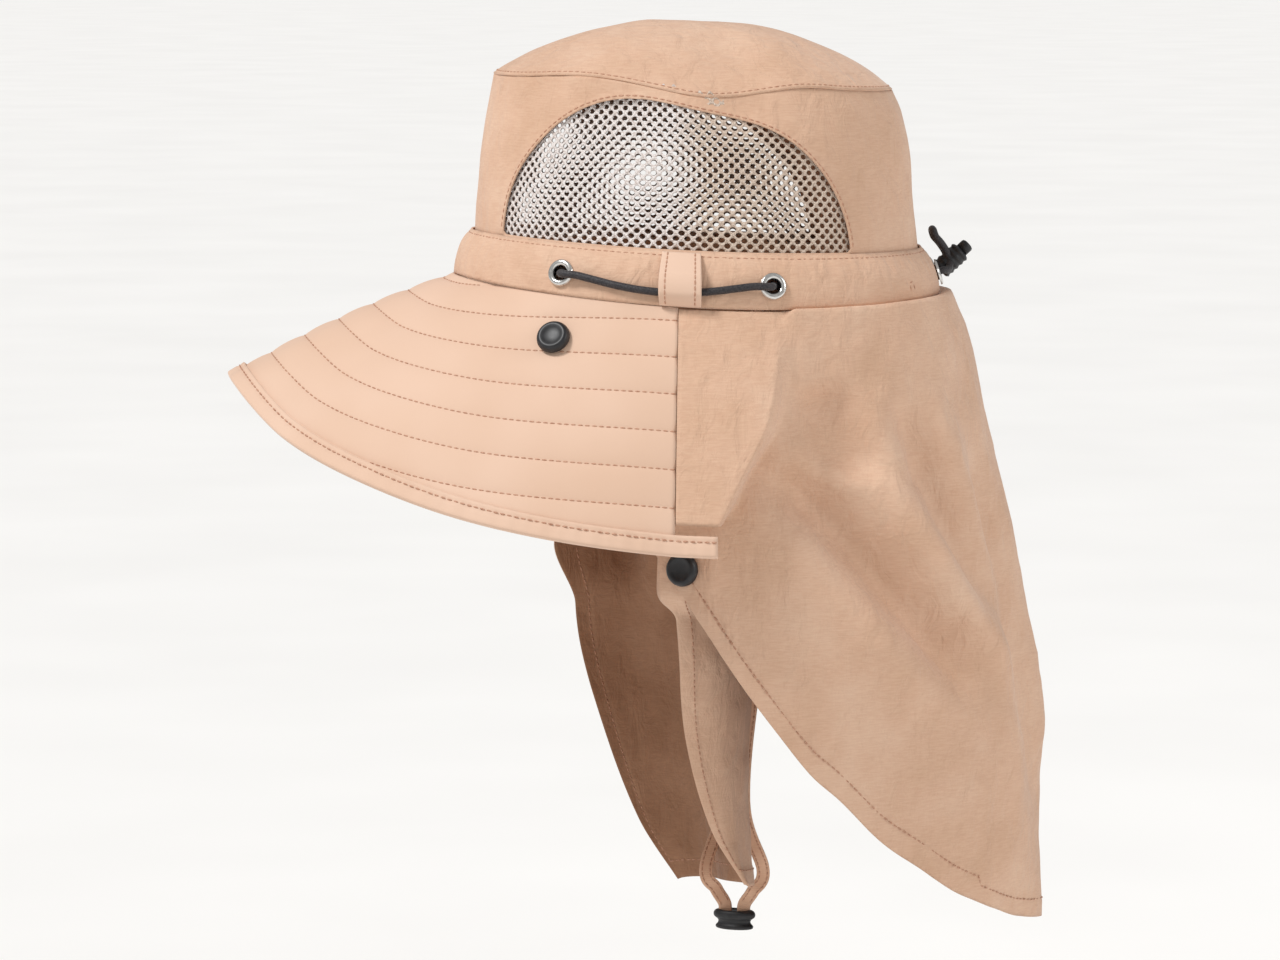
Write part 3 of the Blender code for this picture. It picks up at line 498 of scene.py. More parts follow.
def woven_ribbon():
    """Narrow woven ribbon: the cloth's colour with ribs across it."""
    material, tree, shader, mm = new_material("woven_ribbon")
    broad = add(tree, "ShaderNodeTexNoise", {"Vector": mm, "Scale": 1 / 12, "Detail": 2.0})
    colour = shades(tree, broad.outputs["Fac"], (0.30, "#d0a486"), (0.70, "#dfb698"))
    tree.links.new(colour, shader.inputs["Base Color"])
    # Ribs, drawn 0.9 mm apart to show
    ribs = add(
        tree,
        "ShaderNodeTexWave",
        {"Vector": mm, "Scale": 1 / 0.9 / 20 * math.tau, "Distortion": 0.6},
        bands_direction="Z",
    )
    relief = add(
        tree,
        "ShaderNodeBump",
        {"Height": ribs.outputs["Fac"], "Strength": 0.4, "Distance": 0.00015},
    )
    tree.links.new(relief.outputs[0], shader.inputs["Normal"])
    shader.inputs["Roughness"].default_value = 0.65
    shader.inputs["Sheen Weight"].default_value = 0.15
    return material


def braided_elastic():
    """Rubber core in a braided polyester sleeve: near black, matt, with a fine slanting braid."""
    material, tree, shader, mm = new_material("braided_elastic")
    # The braid is darker in its sunken grooves: painted shade
    braid = add(tree, "ShaderNodeTexVoronoi", {"Vector": mm, "Scale": 1 / 0.7})
    colour = shades(tree, braid.outputs["Distance"], (0.10, "#3a3436"), (0.80, "#17151a"))
    tree.links.new(colour, shader.inputs["Base Color"])
    relief = add(
        tree,
        "ShaderNodeBump",
        {"Height": braid.outputs["Distance"], "Strength": 0.7, "Distance": -0.0002},
    )
    tree.links.new(relief.outputs[0], shader.inputs["Normal"])
    shader.inputs["Roughness"].default_value = 0.55
    shader.inputs["Sheen Weight"].default_value = 0.10
    return material


def moulded_acetal():
    """Injection-moulded acetal: satin black with the mould's fine texture."""
    material, tree, shader, mm = new_material("moulded_acetal")
    cloud = add(tree, "ShaderNodeTexNoise", {"Vector": mm, "Scale": 1 / 3, "Detail": 3.0})
    colour = shades(tree, cloud.outputs["Fac"], (0.35, "#151517"), (0.70, "#242427"))
    tree.links.new(colour, shader.inputs["Base Color"])
    rough = add(tree, "ShaderNodeMapRange", {"Value": cloud.outputs["Fac"], "To Min": 0.36, "To Max": 0.52})
    tree.links.new(rough.outputs["Result"], shader.inputs["Roughness"])
    grain = add(tree, "ShaderNodeTexNoise", {"Vector": mm, "Scale": 1 / 0.5, "Detail": 2.0})
    relief = add(
        tree,
        "ShaderNodeBump",
        {"Height": grain.outputs["Fac"], "Strength": 0.15, "Distance": 0.00005},
    )
    tree.links.new(relief.outputs[0], shader.inputs["Normal"])
    shader.inputs["IOR"].default_value = 1.48
    return material


def nickel_plate():
    """Stamped brass plated with bright nickel: a mirror dulled by tiny handling marks."""
    material, tree, shader, mm = new_material("nickel_plate")
    marks = add(tree, "ShaderNodeTexNoise", {"Vector": mm, "Scale": 1 / 1.2, "Detail": 4.0})
    colour = shades(tree, marks.outputs["Fac"], (0.30, "#c9c7c4"), (0.70, "#e2e0dc"))
    tree.links.new(colour, shader.inputs["Base Color"])
    rough = add(tree, "ShaderNodeMapRange", {"Value": marks.outputs["Fac"], "To Min": 0.12, "To Max": 0.30})
    tree.links.new(rough.outputs["Result"], shader.inputs["Roughness"])
    shader.inputs["Metallic"].default_value = 1.0
    return material


def painted_studio():
    """Matt off-white studio paint, faintly uneven from the roller."""
    material, tree, shader, mm = new_material("painted_studio")
    roller = add(tree, "ShaderNodeTexNoise", {"Vector": mm, "Scale": 1 / 300, "Detail": 2.0})
    colour = shades(tree, roller.outputs["Fac"], (0.30, "#f3f2f0"), (0.70, "#f7f6f4"))
    tree.links.new(colour, shader.inputs["Base Color"])
    shader.inputs["Roughness"].default_value = 0.90
    return material


def cloth_face(name, point, columns, rows, wall, material, flip=False):
    """A cloth piece whose outer face follows point(u, v), with its thickness behind it."""
    bm = bmesh.new()
    bmesh.ops.create_grid(bm, x_segments=columns, y_segments=rows, size=0.5)
    for vertex in bm.verts:
        vertex.co = point(vertex.co.x + 0.5, vertex.co.y + 0.5)
    bmesh.ops.remove_doubles(bm, verts=bm.verts, dist=1e-6)
    if flip:
        bmesh.ops.reverse_faces(bm, faces=bm.faces)
    return from_bmesh(name, bm, wall, material)


def from_bmesh(name, bm, wall, material):
    mesh = bpy.data.meshes.new(name)
    bm.to_mesh(mesh)
    bm.free()
    mesh.shade_smooth()
    piece = bpy.data.objects.new(name, mesh)
    bpy.context.scene.collection.objects.link(piece)
    mesh.materials.append(material)
    if wall:
        solidify = piece.modifiers.new("wall", "SOLIDIFY")
        solidify.thickness = wall
        solidify.offset = -1.0
    if material is CRINKLED:
        # The inner faces get a darker copy of the cloth: painted shade, a guess from how dark the hat is
        # inside
        mesh.materials.append(SHADED_INSIDE)
        solidify.material_offset = 1
    if material is KNITTED:
        # Darkened as painted shade of the hat's hollow, so that the holes read dark, as they do from outside
        mesh.materials.append(KNITTED_SHADED_INSIDE)
        solidify.material_offset = 1
    return piece


def hand_in(piece, slot, *nodes):
    """Lets a piece ride on the hat and stand for its CAD nodes; its slot is not used."""
    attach(piece, "root")
    if nodes:
        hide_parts(*nodes)
    return piece


def turned(name, profile, sides, material):
    """A turned piece from a closed profile of (radius, height), top to bottom on its outer side."""
    mesh = bpy.data.meshes.new(name)
    points = [(radius, 0.0, height) for radius, height in profile]
    edges = [(i, i + 1) for i in range(len(points) - 1)]
    if profile[0][0] > 0.0:
        edges.append((len(points) - 1, 0))
    mesh.from_pydata(points, edges, [])
    piece = bpy.data.objects.new(name, mesh)
    bpy.context.scene.collection.objects.link(piece)
    mesh.materials.append(material)
    screw = piece.modifiers.new("turn", "SCREW")
    screw.steps = sides
    screw.render_steps = sides
    screw.use_merge_vertices = True
    screw.merge_threshold = 0.00001
    screw.use_smooth_shade = True
    return piece


def seat(piece, place, normal):
    piece.matrix_world = Matrix.Translation(place) @ normal.to_track_quat("Z", "Y").to_matrix().to_4x4()
    return piece


def tube(name, points, diameter, material, closed=False):
    curve = bpy.data.curves.new(name, "CURVE")
    curve.dimensions = "3D"
    curve.bevel_depth = diameter / 2
    curve.bevel_resolution = 4
    curve.use_fill_caps = True
    spline = curve.splines.new("POLY")
    spline.points.add(len(points) - 1)
    for knot, place in zip(spline.points, points):
        knot.co = (*place, 1.0)
    spline.use_cyclic_u = closed
    curve.materials.append(material)
    piece = bpy.data.objects.new(name, curve)
    bpy.context.scene.collection.objects.link(piece)
    return piece


def stitch_row(line, bm, pitch=STITCH_PITCH, length=STITCH_LENGTH):
    """Adds stitches along a line of (place, normal) pairs, half sunk in the cloth."""
    travelled, target = 0.0, pitch / 2
    for (a, normal_a), (b, _) in zip(line, line[1:]):
        step = (b - a).length
        while step > 0 and travelled + step >= target:
            middle = a.lerp(b, (target - travelled) / step)
            way = (b - a).normalized()
            across = normal_a.cross(way).normalized()
            rings = []
            for share, girth in ((-0.5, 0.45), (-0.2, 1.0), (0.2, 1.0), (0.5, 0.45)):
                ring = []
                for k in range(5):
                    angle = math.tau * k / 5
                    side = across * math.cos(angle) * 1.15 + normal_a * math.sin(angle)
                    ring.append(bm.verts.new(middle + way * length * share + side * THREAD * girth))
                rings.append(ring)
            for ring, beyond in zip(rings, rings[1:]):
                for k in range(5):
                    bm.faces.new((ring[k], ring[(k + 1) % 5], beyond[(k + 1) % 5], beyond[k]))
            bm.faces.new(rings[0][::-1])
            bm.faces.new(rings[-1])
            target += pitch
        travelled += step


def stitches(name, lines, slot="shell_cloth", pitch=STITCH_PITCH):
    bm = bmesh.new()
    for line in lines:
        stitch_row(line, bm, pitch)
    return hand_in(from_bmesh(name, bm, 0.0, THREAD_FINISH), slot)


def on_face(face, marks):
    """A line of (place, normal) pairs on a face, from its (t, height) marks."""
    return [(face(t, height), outward(t, height, face)) for t, height in marks]


# Crown


def window_radius(t, height, side):
    """How far out a spot lies from a window's middle: 1 is its edge. Below its foot it is outside."""
    if side < 0:
        t = 180.0 - t
    across = turn_between(t, WINDOW_MIDDLE) / WINDOW_HALF_SPAN
    up = (height - WINDOW_FOOT) / WINDOW_RISE
    return math.hypot(across, up) if up > -1e-6 else 2.0


def seam_dip(t):
    """The tip seam sinks at the side, where the crown is dented."""
    side = t if t <= 180.0 else t - 360.0
    side = side if abs(side) <= 90.0 else math.copysign(180.0, side) - side
    sunk = -0.0045 * bump(side + 1.0, 17.0)
    return sunk + 0.0022 * bump(side + 40.0, 18.0) + 0.0012 * bump(side - 28.0, 12.0)


def wall_point(t, height):
    """The crown's outer face with its creases and the turned edges of its windows."""
    plain = crown_point(t, height)
    loose = smooth((height - BAND_HEIGHT) / 0.012)
    out = 0.0011 * crumple(plain, 0.034, 3.0) * loose + 0.0004 * crumple(plain, 0.013, 8.0) * loose
    for side in (1, -1):
        away = (window_radius(t, height, side) - 1.0) * WINDOW_RISE
        if -0.001 < away < 0.012 and height > WINDOW_FOOT:
            out = out * smooth(away / 0.012) + 0.0006 * (1.0 - smooth((away - 0.0018) / 0.0012))
    place = crown_point(t, height, out)
    place.z += seam_dip(t) * smooth((height - CROWN_RISE + 0.030) / 0.030)
    return place


def make_crown():
    columns, low_rows, high_rows = 300, 8, 56
    bm = bmesh.new()
    heights = [WINDOW_FOOT * i / low_rows for i in range(low_rows)]
    heights += [WINDOW_FOOT + (CROWN_RISE - WINDOW_FOOT) * i / high_rows for i in range(high_rows + 1)]
    inside = [[0] * columns for _ in heights]
    spots = []
    for i, height in enumerate(heights):
        row = []
        for j in range(columns):
            t = 360.0 * j / columns
            for side in (1, -1):
                if window_radius(t, height, side) < 1.0:
                    inside[i][j] = side
            row.append((t, height))
        spots.append(row)
    kept = []
    for i in range(len(heights) - 1):
        for j in range(columns):
            k = (j + 1) % columns
            if not (inside[i][j] and inside[i][k] and inside[i + 1][k] and inside[i + 1][j]):
                kept.append(((i, j), (i, k), (i + 1, k), (i + 1, j)))
    verts = {}
    for face in kept:
        for i, j in face:
            if (i, j) in verts:
                continue
            t, height = spots[i][j]
            side = inside[i][j]
            if side:
                # The edge of the cloth follows the window's outline
                radius = max(window_radius(t, height, side), 0.2)
                middle = WINDOW_MIDDLE if side > 0 else 180.0 - WINDOW_MIDDLE
                if height > WINDOW_FOOT + 1e-6:
                    t = middle + turn_between(t, middle) / radius
                    height = WINDOW_FOOT + (height - WINDOW_FOOT) / radius
            verts[i, j] = bm.verts.new(wall_point(t, height))
    for face in kept:
        bm.faces.new([verts[spot] for spot in face])
    hand_in(from_bmesh("crown_wall", bm, CLOTH, CRINKLED), "shell_cloth", "crown_side")

    def tip(u, v):
        return tip_point(360.0 * u, v)

    piece = cloth_face("crown_top", tip, 240, 60, CLOTH, CRINKLED, flip=True)
    hand_in(piece, "shell_cloth", "crown_tip")


def tip_point(t, v):
    foot = crown_point(t, CROWN_RISE, 0.0004)
    heart = Vector((0.0, along(CROWN_LEVELS, 1.0, 2) * HALF_LENGTH, 0.0))
    place = heart.lerp(foot, v)
    rise = TIP_RISE * (1.0 - v**2.6)
    for angle, share, depth, reach, reach_in in TIP_DENTS:
        rise -= depth * bump(turn_between(t, angle), reach) * bump(v - share, reach_in) * smooth(v / 0.3)
    flat = Vector((place.x, place.y, 0.0))
    creases = 0.0016 * crumple(flat, 0.040, 5.0) + 0.0005 * crumple(flat, 0.015, 2.0)
    rise += creases * smooth((1.0 - v) / 0.12)
    place.z = CROWN_RISE + 0.0006 - LEAN * place.y + rise + seam_dip(t) * v**3
    return place


def make_net(word, side):
    """A window's net: a lattice of cells, each with a hole, wider than the window it closes."""
    per_degree = math.pi * HALF_LENGTH / 180.0
    ring = []
    corners = (
        (NET_PITCH * 0.444, 0.0),
        (NET_PITCH * 0.056, NET_ROW),
        (-NET_PITCH * 0.056, NET_ROW),
        (-NET_PITCH * 0.444, 0.0),
        (-NET_PITCH * 0.056, -NET_ROW),
        (NET_PITCH * 0.056, -NET_ROW),
    )
    for (ax, ay), (bx, by) in zip(corners, corners[1:] + corners[:1]):
        ring.append((ax, ay))
        ring.append(((ax + bx) / 2, (ay + by) / 2))
    bm = bmesh.new()

    def spot(x, y):
        t = WINDOW_MIDDLE + x / per_degree
        height = WINDOW_FOOT + y
        wave = 0.0004 * math.sin(x * 190.0) * math.sin(y * 160.0)
        return crown_point(t if side > 0 else 180.0 - t, height, -0.0014 + wave)

    half = WINDOW_HALF_SPAN * per_degree
    for i in range(-3, 34):
        y = i * NET_ROW
        for j in range(-20, 21):
            x = (j + 0.5 * (i % 2)) * NET_PITCH
            if math.hypot(x / (half + 0.004), max(y, 0.0) / (WINDOW_RISE + 0.004)) > 1.0 or y < -0.004:
                continue
            outer, inner = [], []
            for dx, dy in ring:
                angle = math.atan2(dy / NET_HOLE[1], dx / NET_HOLE[0])
                uneven = 1.0 + 0.10 * noise.noise(Vector((x * 300 + dx * 500, y * 300 + dy * 500, 0.0)))
                hole_x, hole_y = NET_HOLE[0] * math.cos(angle), NET_HOLE[1] * math.sin(angle)
                outer.append(bm.verts.new(spot(x + dx, y + dy)))
                inner.append(bm.verts.new(spot(x + hole_x * uneven, y + hole_y * uneven)))
            for k in range(12):
                m = (k + 1) % 12
                face = (outer[k], outer[m], inner[m], inner[k])
                bm.faces.new(face if side > 0 else face[::-1])
    bmesh.ops.remove_doubles(bm, verts=bm.verts, dist=1e-5)
    net = from_bmesh("window_net_" + word, bm, NET_WALL, KNITTED)
    hand_in(net, "mesh_cloth", "mesh_window_" + word)


def window_line(side, grow, count=110):
    """A line round a window's curved edge, grow outside it."""
    line = []
    for k in range(count + 1):
        a = math.pi * k / count
        t = WINDOW_MIDDLE + (WINDOW_HALF_SPAN + grow / 0.00176) * math.cos(a)
        height = WINDOW_FOOT + (WINDOW_RISE + grow) * math.sin(a)
        line.append((t if side > 0 else 180.0 - t, height))
    return line


def crown_stitches():
    seam = []
    for k in range(241):
        t = 1.5 * k
        a = math.radians(t)
        seam.append((tip_point(t, 0.982), Vector((math.cos(a), math.sin(a), 0.8))))
    lines = [[(place, normal.normalized()) for place, normal in seam]]
    for side in (1, -1):
        marks = [spot for spot in window_line(side, 0.0013) if spot[1] > BAND_HEIGHT + 0.001]
        lines.append(on_face(wall_point, marks))
    stitches("crown_topstitching", lines)


# Band


def casing_point(t, height):
    """The band's outer face, puckered along its stitching and towards its lower fold."""
    pucker = 0.00035 * math.sin(t * 1.9 + 3.0 * math.sin(t * 0.31)) * bump((height - 0.0150) / 0.0045, 1.0)
    soft = 0.0005 * crumple(band_point(t, height), 0.016, 11.0) * smooth(height / 0.003)
    seated = 1.0
    for _, eye in eyelet_spots():
        seated = min(seated, smooth((abs(turn_between(t, eye)) - 3.0) / 4.0))
    seated = min(seated, smooth((abs(turn_between(t, LOOP_ANGLE)) - 4.0) / 3.0))
    seated = min(seated, smooth((abs(turn_between(t, 180.0 - LOOP_ANGLE)) - 4.0) / 3.0))
    groove = -0.0004 * bump((height - BAND_STITCHING) / 0.0007, 1.0)
    return band_point(t, height, (pucker + soft) * seated + groove)


def eyelet_spots():
    spots = []
    for word, mirror in (("left", lambda t: t), ("right", lambda t: 180.0 - t)):
        spots.append(("eyelet_front_" + word, mirror(EYELET_FRONT)))
        spots.append(("eyelet_side_" + word, mirror(EYELET_BACK)))
        spots.append(("eyelet_rear_" + word, mirror(EYELET_REAR)))
    return spots


def make_band():
    columns = 420
    turns = 14
    bm = bmesh.new()
    rings = []
    for k in range(turns + 1):
        height = BAND_HEIGHT * (1.0 - k / turns)
        rings.append([casing_point(360.0 * j / columns, height) for j in range(columns)])
    # Its lower fold rolls under and runs back to the crown
    for out, drop in ((-0.0003, 0.0004), (-0.0012, 0.0006), (-0.0040, 0.0005), (-0.0080, 0.0002)):
        ring = []
        for j in range(columns):
            t = 360.0 * j / columns
            ring.append(band_point(t, 0.0, out) - Vector((0.0, 0.0, drop - 0.0004)))
        rings.append(ring)
    verts = [[bm.verts.new(place) for place in ring] for ring in rings]
    for upper, lower in zip(verts, verts[1:]):
        for j in range(columns):
            k = (j + 1) % columns
            bm.faces.new((lower[j], lower[k], upper[k], upper[j]))
    band = from_bmesh("band_casing", bm, BAND_WALL * 0.7, CRINKLED)
    hand_in(band, "shell_cloth", "head_band")
    for name, t in eyelet_spots():
        drill = turned(
            name + "_hole", ((0.0, 0.006), (0.0038, 0.006), (0.0038, -0.006), (0.0, -0.006)), 24, CRINKLED
        )
        seat(drill, band_point(t, CORD_HEIGHT), outward(t, CORD_HEIGHT, band_point))
        hole = band.modifiers.new("hole", "BOOLEAN")
        hole.operation = "DIFFERENCE"
        hole.object = drill
        DRILLS.append(drill)
    lines = [on_face(casing_point, [(1.2 * k, BAND_STITCHING) for k in range(301)])]
    # The bar-tacked end of the casing's seam, behind the ear on each side
    for side in (1, -1):
        marks = []
        for k in range(17):
            a = math.pi * k / 16
            t = 55.5 + 1.0 * math.cos(a)
            marks.append((t if side > 0 else 180.0 - t, 0.0040 + 0.0035 * math.sin(a)))
        lines.append(on_face(casing_point, marks))
    stitches("band_topstitching", lines)


def finish_drilling():
    """Keeps the band with its eyelet holes cut, and takes the drills away."""
    graph = bpy.context.evaluated_depsgraph_get()
    band = bpy.data.objects["band_casing"]
    drilled = bpy.data.meshes.new_from_object(band.evaluated_get(graph))
    band.modifiers.clear()
    band.data = drilled
    for drill in DRILLS:
        bpy.data.objects.remove(drill)


def make_eyelets():
    hole, flange = EYELET_HOLE / 2, EYELET_FLANGE / 2
    middle = (hole + flange) / 2
    profile = [(flange, 0.00010), (flange, 0.0003)]
    for k in range(13):
        a = math.pi * k / 12
        profile.append((middle + (flange - middle) * math.cos(a), 0.0003 + 0.0011 * math.sin(a)))
    profile += [(hole, -BAND_WALL), (hole + 0.0004, -BAND_WALL), (hole + 0.0004, 0.00010)]
    profile.reverse()
    for name, t in eyelet_spots():
        ring = turned(name + "_ring", profile, 48, NICKEL)
        seat(ring, band_point(t, CORD_HEIGHT, 0.0003), outward(t, CORD_HEIGHT, band_point))
        hand_in(ring, "eyelet_metal", name)


def cord_route():
    """The closed route of the elastic cord, whose stretches run in and on the band by turns."""
    inside = GAP + CORD_DIAMETER / 2 + 0.0005
    outside = GAP + BAND_WALL + BAND_FLARE * 0.86 + CORD_DIAMETER / 2 + 0.0006
    per_degree = math.pi * HALF_LENGTH / 180.0

    def through(t, way):
        steps = ((-0.0075, inside), (-0.0040, inside + 0.0006), (-0.0012, inside + 0.0024))
        steps += ((0.0008, outside - 0.0006), (0.0036, outside + 0.0012), (0.0085, outside + 0.0004))
        return [(t + way * step / per_degree, CORD_HEIGHT, out) for step, out in steps]

    def run(start, end, out, sag=0.0, step=6.0):
        count = max(round(abs(end - start) / step), 2)
        shares = [(k + 0.5) / count for k in range(count)]
        return [(start + (end - start) * s, CORD_HEIGHT - sag * math.sin(math.pi * s), out) for s in shares]

    reach = 0.0095 / per_degree
    left = run(EYELET_REAR - reach, EYELET_BACK + reach, inside)
    left += through(EYELET_BACK, -1)
    left += run(EYELET_BACK - reach, EYELET_FRONT + reach, outside, CORD_SAG)
    left += list(reversed(through(EYELET_FRONT, 1)))
    left += run(EYELET_FRONT - reach, -90.0, inside)
    right = [(180.0 - t, height, out) for t, height, out in reversed(left)]
    return [crown_point(t, height, out) for t, height, out in left + right]


def rear_loop():
    """The cord's stretch behind the hat, from one rear eyelet through the lock to the other."""
    place = band_point(EYELET_REAR, CORD_HEIGHT)
    normal = outward(EYELET_REAR, CORD_HEIGHT, band_point)
    half = REAR_RUNS / 2
    y, z = place.y, place.z
    points = [place - normal * 0.0045, place + normal * 0.0030]
    points += [
        Vector((place.x * 0.72, y + 0.0060, z + 0.0010)),
        Vector((half * 1.3, y + 0.0072, z + 0.0040)),
        Vector((half, y + 0.0060, z + 0.0085)),
        Vector((half * 1.25, y + 0.0030, z + 0.0130)),
        Vector((half * 1.2, y + 0.0008, z + REAR_LOOP_RISE - 0.0030)),
        Vector((half * 0.7, y - 0.0002, z + REAR_LOOP_RISE)),
    ]
    return points + [to_side(point, -1) for point in reversed(points)]


def make_cord():
    rear = rounded(rear_loop(), 2)
    route = rounded(cord_route() + list(reversed(rear)), 3, closed=True)
    cord = tube("drawcord", route, CORD_DIAMETER, ELASTIC, closed=True)
    hand_in(cord, "elastic_cord", "elastic_cord")


def make_cord_lock():
    place = band_point(90.0, CORD_HEIGHT)
    heart = Vector((0.0, place.y + 0.0072, place.z + 0.0045))
    axis = Vector((0.0, math.cos(math.radians(LOCK_TILT)), math.sin(math.radians(LOCK_TILT))))
    radius, half = LOCK_DIAMETER / 2, LOCK_LENGTH / 2
    profile = [(0.0, half), (radius * 0.62, half), (radius * 0.86, half * 0.93)]
    # Ribs round the barrel, for the fingers
    for k in range(25):
        h = half * (0.82 - 1.64 * k / 24)
        profile.append((radius * (0.94 + 0.05 * math.cos(math.tau * k / 6)), h))
    profile += [(radius * 0.80, -half * 0.95), (0.0, -half)]
    hand_in(seat(turned("lock_barrel", profile, 48, ACETAL), heart, axis), "black_plastic", "cord_lock")
    head, top = LOCK_BUTTON_DIAMETER / 2, LOCK_BUTTON_LENGTH
    cap = ((0.0, top), (head * 0.6, top * 0.99), (head * 0.9, top * 0.90))
    cap += ((head, top * 0.72), (head, 0.0), (0.0, 0.0))
    button = seat(turned("lock_button", cap, 40, ACETAL), heart + axis * half, axis)
    hand_in(button, "black_plastic", "cord_lock_button")


def loop_point(u, v, side):
    half = math.degrees(LOOP_WIDTH / 2 / HALF_LENGTH)
    stand = CORD_DIAMETER + 0.0016
    rows = ((0.0, 0.0), (0.12, 0.55), (0.28, 1.0), (0.58, 1.0), (0.78, 0.45), (1.0, 0.0))
    t = LOOP_ANGLE + half * (2 * u - 1)
    height = 0.0002 + (BAND_HEIGHT - 0.0004) * v
    cupped = 0.0004 * (1.0 - (2 * u - 1) ** 2)
    out = 0.0004 + LOOP_WALL + stand * along(rows, v) + cupped
    return to_side(band_point(t, height, out), side)


def make_loops():
    lines = []
    for word, side in (("left", 1), ("right", -1)):

        def point(u, v, side=side):
            return loop_point(u, v, side)

        strip = cloth_face("cord_keeper_" + word, point, 24, 40, LOOP_WALL, SMOOTH, flip=side < 0)
        hand_in(strip, "shell_cloth", "cord_loop_" + word)
        for u in (0.15, 0.85):
            line = []
            for k in range(31):
                v = 0.03 + 0.94 * k / 30
                here, ahead = loop_point(u, v, side), loop_point(u, v + 0.01, side)
                normal = (loop_point(u + 0.05, v, side) - here).cross(ahead - here).normalized() * side
                line.append((here, normal))
            lines.append(line)
    stitches("keeper_stitching", lines, pitch=0.0026)


# Peak


def peak_point(t, share, lift=0.0):
    """A point of the peak's upper face: share goes from the band to the outer edge."""
    mirrored = t < -90.0
    if mirrored:
        t = -180.0 - t
    slope = along(PEAK_SLOPES, (t + 90.0) / (PEAK_END + 90.0))
    curl = math.radians(PEAK_CURL)
    start = math.radians(slope) - curl / 2
    end = start + curl * share
    reach = PEAK_WIDTH * (math.sin(end) - math.sin(start)) / curl
    drop = PEAK_WIDTH * (math.cos(start) - math.cos(end)) / curl
    foot = band_point(t, 0.0)
    a = math.radians(t)
    width, length = HALF_WIDTH + BAND_FLARE, HALF_LENGTH + BAND_FLARE
    out = Vector((math.cos(a) / width, math.sin(a) / length, 0.0)).normalized()
    up = out * math.sin(end) + Vector((0.0, 0.0, math.cos(end)))
    place = foot + out * reach - Vector((0.0, 0.0, drop + GAP)) + up * lift
    if mirrored:
        place.x = -place.x
    return place


def row_share(t, row):
    """Where a stitched row crosses the peak: the rows lie further in towards the end seams."""
    near = t if t >= -90.0 else -180.0 - t
    return QUILT_FIRST + QUILT_STEP * row - QUILT_SHIFT * smooth((near + 90.0) / (PEAK_END + 90.0))


def quilted_lift(t, share):
    """The padding swells between the stitched rows."""
    row = (share - row_share(t, 0)) / QUILT_STEP
    swell = abs(math.sin(math.pi * row)) ** 0.55
    return -QUILT_DEPTH * (1.0 - swell) if share < 1.0 - BINDING_WIDTH / PEAK_WIDTH else 0.0


def peak_face(t, share):
    """The quilted face as a face of t and share, for its stitching."""
    return peak_point(t, share, quilted_lift(t, share))


def peak_normal(t, share):
    away = peak_point(t, share + 0.01) - peak_point(t, share - 0.01)
    round_the_hat = peak_point(t + 0.5, share) - peak_point(t - 0.5, share)
    normal = away.cross(round_the_hat).normalized()
    return normal if normal.z > 0 else -normal


def make_peak():
    turn = -180.0 - 2 * PEAK_END
    edge = 1.0 - (BINDING_WALL + GAP) / PEAK_WIDTH

    def point(u, v):
        return peak_face(PEAK_END + turn * u, v * edge)

    piece = cloth_face("quilted_peak", point, 200, 150, PEAK_WALL, SMOOTH)
    hand_in(piece, "shell_cloth", "peak")

    lines = []
    for row in range(0, 7):
        line = []
        for k in range(201):
            t = PEAK_END + turn * k / 200
            share = row_share(t, row)
            if 0.012 < share < 0.915:
                line.append((peak_face(t, share) + peak_normal(t, share) * 0.0002, peak_normal(t, share)))
            elif len(line) > 1:
                lines.append(line)
                line = []
        if len(line) > 1:
            lines.append(line)
    stitches("peak_quilting", lines)

    end = PEAK_END + BINDING_RUN_ON
    tuck = 1.0 - BINDING_WIDTH / PEAK_WIDTH
    inner = 1.0 - BINDING_WALL / PEAK_WIDTH
    top, bottom = GAP, -PEAK_WALL - GAP
    section = [(tuck, top), (tuck - 0.002, top + BINDING_WALL * 0.6), (tuck, top + BINDING_WALL)]
    for k in range(1, 8):
        share = tuck + (inner - tuck) * k / 8
        sunk = 0.0004 * bump((k - 2.4) / 1.0, 1.0)
        section.append((share, top + BINDING_WALL * 1.05 - sunk))
    middle = (top + bottom) / 2
    reach = (top - bottom) / 2 + BINDING_WALL
    for k in range(9):
        a = math.pi / 2 - math.pi * k / 8
        section.append((inner + math.cos(a) * 0.010, middle + math.sin(a) * reach))
    section += [(tuck, bottom - BINDING_WALL), (tuck, bottom), (inner, bottom), (inner, top)]
    bm = bmesh.new()
    rings = []
    columns = 220
    angles = [end + (-180.0 - 2 * end) * k / columns for k in range(columns + 1)]
    for t in angles:
        wave = 0.00025 * math.sin(t * 2.3 + math.sin(t * 0.9))
        ring = []
        for share, lift in section:
            ring.append(bm.verts.new(peak_point(t, share, lift + (wave if lift > 0 else 0.0))))
        rings.append(ring)
    count = len(section)
    for ring, beyond in zip(rings, rings[1:]):
        for i in range(count):
            j = (i + 1) % count
            bm.faces.new((ring[i], ring[j], beyond[j], beyond[i]))
    bm.faces.new(list(reversed(rings[0])))
    bm.faces.new(rings[-1])
    bmesh.ops.recalc_face_normals(bm, faces=bm.faces)
    piece = from_bmesh("bound_edge", bm, 0.0, SMOOTH)
    hand_in(piece, "shell_cloth", "peak_binding")
    line = []
    for t in angles:
        share = tuck + (inner - tuck) * 0.30
        line.append((peak_point(t, share, top + BINDING_WALL * 0.95), peak_normal(t, share)))
    stitches("binding_stitching", [line])


# Neck flap


